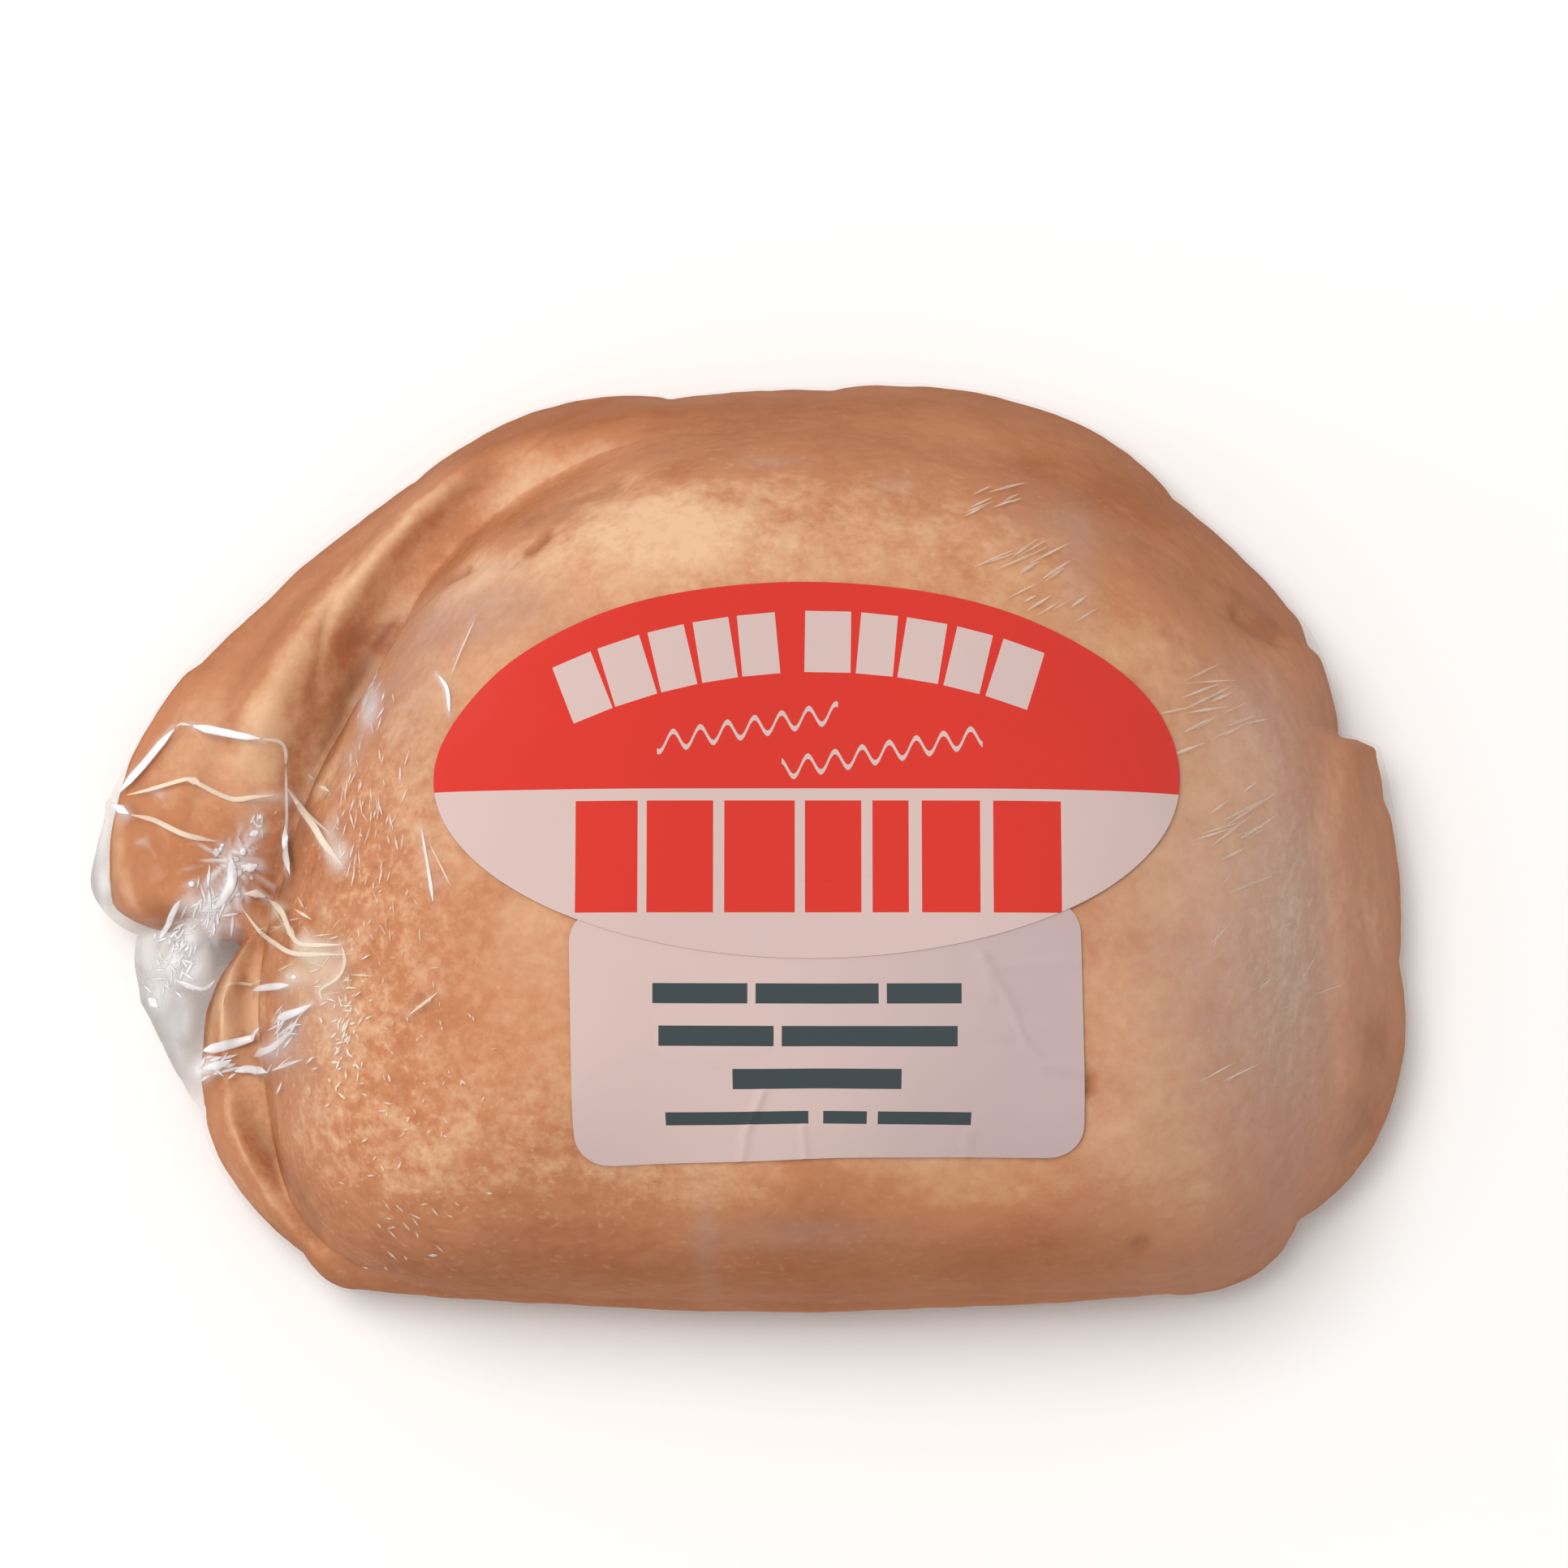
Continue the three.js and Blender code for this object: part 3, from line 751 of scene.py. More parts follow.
def dough_relief(points):
    """Fine unevenness of the dough. It only sinks, so that the dough stays inside the film."""
    swells = sum(height * noise_at(points, *kind) for height, *kind in SWELLS)
    sunk = np.clip(swells - SWELLS_SUNK_BY, -SWELLS_DEEPEST, 0)
    return sunk * (1 - SWELLS_PRESSED_FLAT * label_zone(points))


# Small dents of the dough: the run, its width and its depth.
DIMPLES = placed_runs([
    ([(1532, 755), (1580, 784)], 1.1, 1.2),
    ([(1610, 780), (1624, 791)], 1.0, 0.6),
    ([(1349, 1327), (1338, 1347)], 0.45, 0.7),
    ([(653, 674), (670, 657)], 0.45, 0.6),
    ([(548, 712), (570, 700)], 0.6, 0.5),
    ([(470, 800), (486, 780)], 0.7, 0.3),
    ([(1405, 1539), (1409, 1537)], 0.7, 0.5),
    ([(514, 1232), (518, 1250)], 0.45, 0.7),
    ([(1645, 928), (1619, 1042), (1638, 1089), (1633, 1165), (1643, 1231), (1652, 1353)], 1.9, 0.5),
    ([(1694, 934), (1706, 980)], 1.6, 0.8),
])


# The browning that every point has, its uneven part with the size, octaves and place of that noise, and
# what the steep sides and the lower edge add, which is partly browner baking and partly painted shade of
# sides turned from the light. A side is steep by the upward part of its direction.
BAKED_EVENLY, BAKED_UNEVENLY, UNEVEN_SPOTS = 0.34, 0.10, (22, 2, 5.2)
STEEP_BROWNED_AND_SHADED, STEEP_FROM_TO = 0.34, (0.9, 0.3)
LOW_BROWNED_AND_SHADED, LOW_FROM_TO = 0.36, (13, 3)
CREASE_CORE, CREASE_DEEP = 0.42, 2.4  # how much of its width a crease darkens, and from which depth fully
# How mottled the crust is: everywhere, and more at the left, at the lower left and behind the labels.
MOTTLED_EVERYWHERE = 0.22
MOTTLED_SPOTS = [(-46, -14, 10, 25, 0.75), (-26, -36, 20, 9, 0.35), (-8, 30, 30, 9, 0.25)]


def browning_and_shade(points, normals):
    """How well baked each point of the dough is, from 0 to 1, with painted shade and painted light added:
    most on its steep sides.
    """
    x, y, z = points.T
    amount = BAKED_EVENLY + BAKED_UNEVENLY * noise_at(points, *UNEVEN_SPOTS)
    amount = amount + STEEP_BROWNED_AND_SHADED * eased(*STEEP_FROM_TO, normals[:, 2])
    amount = add_runs(add_spots(amount, x, y, BAKING_SHADE_AND_LIGHT), x, y, SHADE_AND_LIGHT_RUNS)
    return np.clip(amount + LOW_BROWNED_AND_SHADED * eased(*LOW_FROM_TO, z), 0, 1)


def crease_shading(x, y):
    """How much painted shade each point gets from how deep it lies in a crease, from 0 to 1."""
    crease_shade_share = np.zeros_like(x)
    for run, width, height in DOUGH_FOLDS:
        if height < 0:
            near = near_run(x, y, run, CREASE_CORE * width)
            crease_shade_share = np.maximum(crease_shade_share, near * min(1, -height / CREASE_DEEP))
    return crease_shade_share


def mottling(x, y):
    """How mottled each point of the crust is, from 0 to 1."""
    return np.clip(add_spots(np.full_like(x, MOTTLED_EVERYWHERE), x, y, MOTTLED_SPOTS), 0, 1)


# Spots of the crust: the size in metres, detail, roughness and distortion of their noise, the part of it
# that counts, and how much they change the browning.
PATCHES = (0.009, 4, 0.6, 0.4, 0.3, 0.7, 0.12)
BLOTCHES = (0.0034, 4, 0.62, 0.4, 0.36, 0.66, 0.2)
SPECKLES = (0.0012, 3, 0.65, 0, 0.35, 0.7, 0.2)
PATCHES_BY_MOTTLING = (0.0, 0.6, 0.35, 1.0)
CRUMB_SIZE, CRUMB_RANGE, CRUMB_SHARE = 0.0008, (0.6, 0.72), 0.55
CRUST_STOPS = (0.0, 0.2, 0.46, 1.0)  # the browning at which the crust is cream, pale, golden and brown
# How far the painted shade darkens the creases.
CREASE_SHADE_STRENGTH = 0.42
# Unevenness of the surface: its size and depth in metres, and its strength.
GRAIN_SIZE, GRAIN_DEPTH, GRAIN_STRENGTH = 0.0011, 0.00006, (0.15, 0.6)
WAVE_SIZE, WAVE_DEPTH, WAVE_STRENGTH = 0.004, 0.0002, 0.5


def dough_material(looks):
    """The baked crust, by the browning with its painted shade and light, the painted shade of creases and the
    mottling that its points keep.
    """
    nodes = Nodes("baked_dough")
    bake_and_shade, crease_shade_share, mottle = nodes.value("browning_and_shade"), nodes.value("crease_shade"), nodes.value("mottle")
    patches = nodes.times(nodes.spots(*PATCHES), nodes.range(mottle, *PATCHES_BY_MOTTLING))
    spotted = nodes.times(nodes.math("ADD", nodes.spots(*BLOTCHES), nodes.spots(*SPECKLES)), mottle)
    tone = nodes.math("ADD", nodes.math("ADD", bake_and_shade, patches), spotted, clamp=True)
    tones = [solid_colour(one) for one in (looks.cream, looks.pale, looks.gold, looks.brown)]
    crust = nodes.ramp(tone, list(zip(CRUST_STOPS, tones)))
    crumbs = nodes.range(nodes.noise(CRUMB_SIZE, detail=2, distortion=0.3), *CRUMB_RANGE)
    crumbs = nodes.times(crumbs, nodes.times(mottle, CRUMB_SHARE))
    crust = nodes.mix(crumbs, crust, solid_colour(looks.cream))
    coloured = nodes.mix(nodes.times(crease_shade_share, CREASE_SHADE_STRENGTH), crust, solid_colour(looks.crease_shade_colour))
    grain_noise = nodes.noise(GRAIN_SIZE, detail=4, roughness=0.6)
    grain = nodes.bump(grain_noise, GRAIN_DEPTH, nodes.range(mottle, 0, 1, *GRAIN_STRENGTH))
    normal = nodes.bump(nodes.noise(WAVE_SIZE), WAVE_DEPTH, WAVE_STRENGTH, grain)
    return nodes.finish(nodes.add(
        "ShaderNodeBsdfPrincipled", Base_Color=coloured, Roughness=0.8, Specular_IOR_Level=0.06,
        Normal=normal,
    ))


def crown_of(sizes):
    """Where the crown lies in plan, in millimetres."""
    return (sizes.crown_along / MM, sizes.crown_back / MM)


DOUGH_COLUMNS, DOUGH_RINGS = 600, steps_over((0, 1, 26), (1, 2, 48), (2, 3, 86))
DOUGH_OFF_FLOOR = 0.15


class PASTY_OT_dough(bpy.types.Operator):
    """Makes the baked dough, with its crimps, folds and browning"""

    bl_idname = "pasty.dough"
    bl_label = "Dough"

    def execute(self, context):
        sizes, looks = context.scene.pasty_sizes, context.scene.pasty_looks
        crown, height = crown_of(sizes), sizes.crown_height / MM
        piece, angle, ring = ball("pasty_dough", DOUGH_COLUMNS, len(DOUGH_RINGS) - 1)
        way = DOUGH_RINGS[ring]
        points = soften(form_points(angle, way, DOUGH_CRIMPS, DOUGH_FOLDS, height), angle, ring, way)
        set_points(piece, points, crown)
        x, y = points[:, 0], points[:, 1]
        relief = dough_relief(points) * sizes.relief / MM - fold_height(x, y, DIMPLES)
        moved = points + normals_of(piece) * (relief - sizes.dough_inset / MM)[:, None]
        moved[:, 2] = np.maximum(moved[:, 2], DOUGH_OFF_FLOOR)
        set_points(piece, moved, crown)
        give_values(piece, "browning_and_shade", browning_and_shade(points, normals_of(piece)))
        give_values(piece, "crease_shade", crease_shading(x, y))
        give_values(piece, "mottle", mottling(x, y))
        piece.data.materials.append(dough_material(looks))
        belongs(piece, "crust", "film_wrapped_pasty")
        return {"FINISHED"}


# ---- film ----------------------------------------------------------------------------------
# Strands of the gathered film, where it is rolled, doubled or drawn tight: the run, the width at its
# start, middle and end in millimetres, how milky it is, and how much of the crust's colour it gathers. The
# milkiness is partly the film's own whitening and partly painted highlight, and the crust's colour is a
# painted warm reflection.
FILM_STRANDS = placed_runs([
    ([(147, 979), (162, 961), (178, 943), (198, 919), (217, 898)], 0.7, 0.95, 0.6, 1.0, 0.0),
    ([(217, 898), (223, 893), (237, 895)], 0.35, 0.4, 0.4, 0.5, 0.1),
    ([(237, 895), (273, 903), (300, 909), (325, 913)], 1.0, 0.85, 0.6, 1.0, 0.0),
    ([(325, 913), (346, 916), (353, 927), (353, 945)], 0.4, 0.4, 0.35, 0.55, 0.25),
    ([(353, 945), (354, 1006), (354, 1030)], 0.3, 0.3, 0.4, 0.55, 0.2),
    ([(352, 1016), (354, 1049), (359, 1081)], 0.3, 0.85, 0.2, 0.95, 0.0),
    ([(155, 981), (189, 973), (232, 961), (246, 967), (269, 979), (291, 987), (315, 984), (341, 981)],
     0.5, 0.5, 0.7, 0.68, 0.6),
    ([(229, 962), (240, 963), (250, 968)], 0.5, 0.95, 0.4, 0.6, 0.6),
    ([(138, 992), (149, 998), (161, 1005)], 1.0, 1.05, 0.8, 1.0, 0.0),
    ([(161, 1005), (189, 1011), (228, 1029), (269, 1038)], 0.45, 0.6, 0.55, 0.55, 0.55),
    ([(285, 1056), (287, 1074), (285, 1092), (275, 1110), (264, 1124)], 0.9, 1.1, 0.6, 0.95, 0.0),
    ([(296, 1067), (308, 1070), (320, 1066)], 0.9, 1.2, 0.7, 1.0, 0.0),
    ([(295, 1049), (306, 1052)], 1.1, 1.2, 1.1, 1.0, 0.0),
    ([(307, 1031), (321, 1025)], 0.8, 0.9, 0.7, 0.7, 0.0),
    ([(319, 1012), (323, 1004)], 0.4, 0.5, 0.4, 0.7, 0.0),
    ([(272, 1040), (277, 1045)], 0.5, 0.55, 0.5, 0.9, 0.0),
    ([(232, 1091), (242, 1089)], 0.8, 0.9, 0.7, 0.95, 0.0),
    ([(224, 1109), (212, 1131), (197, 1160)], 0.6, 0.7, 0.7, 0.65, 0.0),
    ([(300, 1103), (316, 1102), (331, 1108)], 0.6, 1.0, 0.8, 0.85, 0.3),
    ([(331, 1108), (348, 1125), (360, 1153), (375, 1165), (422, 1165)], 0.8, 0.55, 0.5, 0.7, 0.65),
    ([(296, 1116), (322, 1150), (339, 1163), (365, 1176), (422, 1177)], 0.35, 0.5, 0.5, 0.65, 0.65),
    ([(363, 1121), (386, 1135)], 0.35, 0.4, 0.3, 0.5, 0.6),
    ([(422, 1165), (425, 1187), (416, 1206), (395, 1221), (399, 1234)], 0.4, 0.35, 0.3, 0.55, 0.6),
    ([(274, 1220), (295, 1213), (324, 1209)], 0.3, 0.35, 0.3, 0.45, 0.7),
    ([(215, 1208), (249, 1219), (267, 1208)], 0.3, 0.4, 0.3, 0.6, 0.0),
    ([(312, 1224), (337, 1217), (359, 1215)], 0.3, 0.8, 0.4, 0.65, 0.0),
    ([(359, 1203), (366, 1206)], 0.5, 0.6, 0.5, 0.9, 0.0),
    ([(250, 1296), (279, 1289), (322, 1268)], 1.1, 1.0, 0.6, 1.0, 0.0),
    ([(341, 1257), (368, 1247), (386, 1238)], 1.2, 0.8, 0.3, 0.7, 0.0),
    ([(311, 1302), (335, 1293), (360, 1272)], 0.9, 0.8, 0.5, 0.5, 0.1),
    ([(250, 1319), (270, 1313), (288, 1306)], 1.2, 1.1, 0.8, 0.75, 0.0),
    ([(288, 1321), (310, 1318), (331, 1323)], 0.5, 0.9, 0.5, 0.75, 0.0),
    ([(335, 1321), (375, 1306)], 0.6, 0.5, 0.3, 0.4, 0.1),
    ([(183, 1230), (197, 1243)], 0.9, 1.1, 0.9, 1.0, 0.0),
    ([(353, 970), (370, 995), (387, 1019), (401, 1042), (424, 1069)], 0.5, 0.75, 0.6, 0.7, 0.5),
    ([(359, 975), (381, 1005), (409, 1030)], 0.25, 0.3, 0.2, 0.5, 0.6),
    ([(380, 954), (388, 963)], 0.2, 0.3, 0.2, 0.7, 0.6),
    ([(395, 970), (407, 977)], 0.4, 0.5, 0.3, 0.6, 0.5),
    ([(502, 1253), (522, 1237), (542, 1221)], 0.3, 0.35, 0.2, 0.6, 0.7),
    ([(519, 1019), (527, 1066), (534, 1113)], 0.2, 0.3, 0.45, 0.75, 0.3),
    ([(529, 1039), (556, 1093)], 0.2, 0.2, 0.2, 0.4, 0.4),
    ([(540, 832), (551, 850), (554, 880)], 0.3, 0.4, 0.3, 0.95, 0.0),
    ([(587, 761), (570, 798), (556, 833)], 0.12, 0.18, 0.12, 0.4, 0.2),
])
# Short glints, painted highlights made as milky beads, scattered over patches of the film: view pixel,
# reach along x and y, how many, their direction and its spread in degrees, their length and width, how
# milky and how warm they are.
FILM_GLINTS = placed([
    (288, 1066, 1.6, 2.2, 12, 75, 30, 1.0, 0.8, 0.8, 0.0),
    (265, 1123, 1.8, 2.6, 30, 70, 25, 2.2, 0.38, 0.85, 0.0),
    (221, 1169, 2.4, 2.6, 34, 60, 60, 1.5, 0.40, 0.85, 0.0),
    (204, 1214, 1.8, 2.6, 20, 110, 40, 1.6, 0.35, 0.70, 0.0),
    (315, 1016, 1.5, 1.8, 10, 60, 50, 1.1, 0.32, 0.60, 0.1),
    (270, 1312, 2.2, 1.0, 14, 15, 25, 1.8, 0.45, 0.90, 0.0),
    (349, 1273, 2.2, 2.4, 20, 35, 25, 2.0, 0.34, 0.60, 0.0),
    (349, 1146, 2.6, 2.2, 14, -40, 25, 2.2, 0.26, 0.50, 0.65),
    (397, 1187, 2.6, 2.6, 16, 0, 25, 2.0, 0.26, 0.50, 0.6),
    (424, 1262, 1.4, 5.0, 60, 55, 45, 1.0, 0.28, 0.75, 0.45),
    (452, 1000, 3.4, 5.6, 60, 90, 14, 1.6, 0.21, 0.55, 0.25),
    (467, 1104, 3.6, 5.0, 30, 90, 20, 1.2, 0.19, 0.42, 0.40),
    (496, 1312, 5.5, 9.0, 60, 60, 60, 0.7, 0.26, 0.48, 0.55),
    (500, 1500, 5.5, 3.0, 24, 140, 30, 0.9, 0.24, 0.50, 0.45),
    (455, 870, 1.4, 3.0, 18, 75, 15, 1.8, 0.30, 0.55, 0.0),
    (1233, 616, 3.5, 1.8, 8, 32, 5, 3.4, 0.36, 0.36, 0.45),
    (1267, 692, 4.5, 2.0, 12, 31, 5, 4.2, 0.36, 0.36, 0.45),
    (1290, 747, 3.0, 1.2, 6, 31, 6, 2.8, 0.34, 0.34, 0.45),
    (1498, 885, 3.2, 4.6, 16, 27, 6, 4.0, 0.36, 0.36, 0.40),
    (1530, 1023, 3.4, 3.0, 12, 30, 6, 5.2, 0.34, 0.34, 0.40),
    (1575, 1170, 4.5, 8.0, 9, 35, 14, 3.2, 0.20, 0.32, 0.40),
    (1520, 1322, 1.0, 0.4, 3, 30, 5, 3.4, 0.24, 0.50, 0.40),
])
# Milky patches of the film, partly its whitening where crumpled and partly painted highlight: view pixel,
# reach along x and y, how milky and how warm.
FILM_PATCHES = placed([
    (290, 1066, 2.6, 2.8, 0.75, 0.0),
    (272, 1105, 2.4, 3.0, 0.60, 0.0),
    (248, 1136, 2.8, 3.4, 0.60, 0.0),
    (218, 1171, 3.0, 2.6, 0.55, 0.0),
    (198, 1214, 2.2, 3.0, 0.30, 0.0),
    (128, 1025, 1.1, 3.2, 0.45, 0.0),
    (127, 1093, 0.8, 1.6, 0.50, 0.0),
    (315, 1018, 1.6, 2.0, 0.28, 0.0),
    (263, 1312, 2.8, 1.1, 0.40, 0.0),
    (344, 1283, 3.0, 2.6, 0.34, 0.1),
    (455, 870, 1.4, 3.2, 0.45, 0.0),
    (432, 931, 1.4, 2.6, 0.18, 0.2),
    (342, 1132, 2.2, 2.4, 0.40, 0.7),
    (385, 1186, 3.6, 3.2, 0.48, 0.7),
    (421, 1055, 1.1, 1.8, 0.45, 0.4),
    (410, 1030, 1.0, 3.4, 0.26, 0.4),
    (337, 983, 2.0, 0.8, 0.30, 0.3),
    (415, 1250, 1.8, 4.6, 0.22, 0.5),
])
# Veils over the body, partly the film's haze and partly painted sheen of the room reflected in it. Broad
# ones: plan point, reach along x and y, amount.
FILM_VEILS_AND_SHEEN = [
    (45, -16, 14, 24, 0.34),
    (50, -10, 4, 16, 0.18),
    (-33, 20.5, 9, 4.5, 0.26),
    (-40, 13, 4, 7, 0.16),
    (-37, 2, 6, 8, 0.08),
    (-50, -26, 3, 8, 0.10),
] + placed([  # and narrow ones, by their view pixel
    (1540, 880, 5.0, 6.0, 0.16),
    (1330, 700, 2.2, 7.0, 0.18),
    (1300, 645, 5.0, 2.5, 0.10),
    (990, 1520, 9.0, 1.6, 0.14),
    (870, 1520, 1.2, 5.0, 0.14),
    (948, 570, 3.5, 0.9, 0.14),
    (1102, 598, 2.0, 1.2, 0.12),
])


def eased_path(run, step):
    """A smooth path through the points of a run, with a point about every step along it."""
    ends = [2 * np.array(run[0]) - run[1], *map(np.array, run), 2 * np.array(run[-1]) - run[-2]]
    path = []
    for before, first, last, after in zip(ends, ends[1:], ends[2:], ends[3:]):
        count = max(2, math.ceil(np.hypot(*(last - first)) / step))
        square = 2 * before - 5 * first + 4 * last - after
        cube = 3 * first - before - 3 * last + after
        for t in np.arange(count) / count:
            path.append(0.5 * (2 * first + (last - before) * t + square * t**2 + cube * t**3))
    return np.array([*path, run[-1]], float)


# The ridge that a strand draws up and the painted highlight, a milky sheen, beside it: their reach, the
# ridge's height, what the strand's width adds to both, how steeply ridge and sheen rise, and how strong
# the sheen is.
RIDGE_REACH, REACH_BY_WIDTH, RIDGE_HEIGHT, HEIGHT_BY_WIDTH = 1.0, 0.9, 0.2, 0.35
RIDGE_STEEPNESS, SHEEN_STEEPNESS, SHEEN_SHARE = 1.6, 3, 0.3
RIDGE_FARTHEST = 4  # beyond a strand nothing is worked out for it


def strand_ridges(x, y):
    """How high the skin is drawn up along the strands, and the painted highlight on both sides of them."""
    height, painted_sheen = np.zeros_like(x), np.zeros_like(x)
    for run, _, middle, _, amount, _ in FILM_STRANDS:
        low, high = np.min(run, axis=0) - RIDGE_FARTHEST, np.max(run, axis=0) + RIDGE_FARTHEST
        near = (x > low[0]) & (x < high[0]) & (y > low[1]) & (y < high[1])
        far = distance_to_run(x[near], y[near], run)
        slope = np.clip(1 - far / (RIDGE_REACH + REACH_BY_WIDTH * middle), 0, 1)
        ridge = (RIDGE_HEIGHT + HEIGHT_BY_WIDTH * middle) * slope**RIDGE_STEEPNESS
        height[near] = np.maximum(height[near], ridge)
        painted_sheen[near] = np.maximum(painted_sheen[near], SHEEN_SHARE * amount * slope**SHEEN_STEEPNESS)
    return height, painted_sheen


# The web of film past the dough: the turns over which the dough's outline is evened out, the distance
# over which the web sets in, how wide it is where it counts, how near the film's edge it is fully grey,
# how grey it is elsewhere, and how milky. The grey is painted shade, darkest towards the film's edge.
PAST_TURNS, PAST_DOUGH_BY = np.radians([-3.0, -1.5, 0.0, 1.5, 3.0]), 1.8
WEB_WIDTHS, WEB_EDGE, WEB_GREY, WEB_MILKY = (0.3, 1.5), (2.2, 0.2), 0.35, 0.5
WARMTH_EASING = 0.02  # keeps the warmth of a patch finite where nothing is milky


def past_dough(angle, radius):
    """1 where the film stands out past the dough, 0 over it, and smooth between."""
    shares = [eased(0, PAST_DOUGH_BY, radius - outline(angle + turn, DOUGH_CRIMPS)) for turn in PAST_TURNS]
    return sum(shares) / len(shares)


def film_haze(x, y):
    """How milky the film is at plan points, partly as painted highlight, how warm, how grey with painted
    shade, and how high it is drawn up.
    """
    height, milk_and_highlight = strand_ridges(x, y)
    warm = np.zeros_like(x)
    for *place, amount, warmth in FILM_PATCHES:
        near = amount * near_spot(x, y, *place)
        warm = between(warm, warmth, near / (near + milk_and_highlight + WARMTH_EASING))
        milk_and_highlight = 1 - (1 - milk_and_highlight) * (1 - near)
    angle, radius = np.arctan2(y, x), np.hypot(x, y)
    edge = outline(angle, FILM_CRIMPS)
    web = past_dough(angle, radius) * eased(*WEB_WIDTHS, edge - outline(angle, DOUGH_CRIMPS))
    grey = web * between(WEB_GREY, 1.0, eased(*WEB_EDGE, edge - radius))
    milk_and_highlight = 1 - (1 - milk_and_highlight) * (1 - WEB_MILKY * web)
    return np.clip(milk_and_highlight, 0, 1), warm, grey, height


KNOT = (-60.2, -2.5)  # where the film is twisted together
# Facets of the gathered film: how closely they lie round the knot, how long they are, and how they
# change with the height; then the plan points and reaches of the places where it is gathered.
FACETS_ROUND_KNOT, FACET_LENGTH, FACETS_BY_HEIGHT = 3.6, 4.5, 0.05
GATHERED_AT = [(-60, -4, 7, 6), (-53, -12, 6, 5), (-66, -12, 6, 7), (-60, -22, 7, 5), (-69, 3, 5, 6)]
RAYS_FROM = 0.1  # metres above the floor
FILM_CLEARANCE, FILM_CLEARS_UP_TO = 0.06, 1.5  # what the film keeps off the dough, and the most it is raised


def crumple(points):
    """Sharp facets that fan out from the knot of the gathered film, from 0 to 1."""
    x, y = points[:, 0] - KNOT[0], points[:, 1] - KNOT[1]
    round_knot, out = np.arctan2(y, x) * FACETS_ROUND_KNOT, np.hypot(x, y) / FACET_LENGTH
    fan = np.stack([round_knot, out, points[:, 2] * FACETS_BY_HEIGHT], axis=1)
    facets = [noise.noise(Vector(p), noise_basis="VORONOI_F2F1") for p in fan.tolist()]
    return 0.5 + 0.5 * np.array(facets)


def gather_share(x, y):
    """Where the film is gathered: 1 at the left end and 0 over the rest."""
    total = np.zeros_like(x)
    for place in GATHERED_AT:
        total = np.maximum(total, near_spot(x, y, *place))
    return total


# The film's streaks and wrinkles, which are drawn out along one direction: size in metres and stretch.
DRAWN_TOWARDS = -1.05
STREAK_SIZE, STREAK_STRETCH, STREAK_RANGE = 0.0011, (1, 0.09, 1), (0.4, 0.7, 0.85, 1.25)
WRINKLE_SIZE, WRINKLE_STRETCH, WRINKLE_DEPTH, WRINKLE_STRENGTH = 0.006, (1, 0.35, 1), 0.0006, 0.6
MILKY_RANGE = (0.05, 0.3)  # over which a milky place goes from the soft veil's colour to the plain veil's
CLEAR_FILM = (0.985, 0.985, 0.985)
MIRROR_LEAST, MIRROR_MORE, MIRROR_POWER = 0.012, 0.05, 5.0  # seen square on, and added at a flat angle


def film_material(looks):
    """Clear film with a thin gloss, and milky where it is rolled, doubled or hazy, and where painted
    highlights and painted sheen lie on it.
    """
    nodes = Nodes("clear_film")
    milk_and_highlight, warm, veil_and_sheen, grey = (nodes.value(name) for name in ("milk_and_highlight", "warm", "veil_and_sheen", "grey"))
    streaks = nodes.noise(STREAK_SIZE, roughness=0.6, stretch=STREAK_STRETCH, turn=DRAWN_TOWARDS)
    scatter = nodes.math("ADD", milk_and_highlight, nodes.times(veil_and_sheen, nodes.range(streaks, *STREAK_RANGE)), clamp=True)
    milkiness = nodes.range(milk_and_highlight, *MILKY_RANGE)
    tint = nodes.mix(milkiness, solid_colour(looks.soft_haze_and_sheen), solid_colour(looks.veil_and_sheen))
    tint = nodes.mix(warm, tint, solid_colour(looks.warm_sheen))
    tint = nodes.mix(grey, tint, solid_colour(looks.web_shade_colour))
    wrinkles = nodes.noise(WRINKLE_SIZE, roughness=0.6, stretch=WRINKLE_STRETCH, turn=DRAWN_TOWARDS)
    wrinkle = nodes.bump(wrinkles, WRINKLE_DEPTH, WRINKLE_STRENGTH)
    clear = nodes.add("ShaderNodeBsdfTransparent", Color=solid_colour(CLEAR_FILM))
    gloss = nodes.add("ShaderNodeBsdfAnisotropic", Color=(1, 1, 1, 1), Roughness=0.14, Normal=wrinkle)
    facing = nodes.add("ShaderNodeLayerWeight", Blend=0.5, Normal=wrinkle).outputs["Facing"]
    mirror = nodes.math("MULTIPLY_ADD", nodes.math("POWER", facing, MIRROR_POWER), MIRROR_MORE, MIRROR_LEAST)
    milk = nodes.add("ShaderNodeBsdfPrincipled", Base_Color=tint, Roughness=0.3)
    return nodes.finish(nodes.mixed_shader(scatter, nodes.mixed_shader(mirror, clear, gloss), milk))


# Scattered glints: the first number that the draws start from, how close together they lie, the least and
# most of their length, width and milkiness, and the width of their two ends against the middle.
GLINT_SEED, GLINTS_CLOSE_BY = 7, 1.5
GLINT_LENGTHS, GLINT_WIDTHS, GLINT_MILKS = (0.3, 0.8), (0.6, 1.3), (0.5, 1.0)
GLINT_STARTS, GLINT_ENDS = 0.7, 0.5


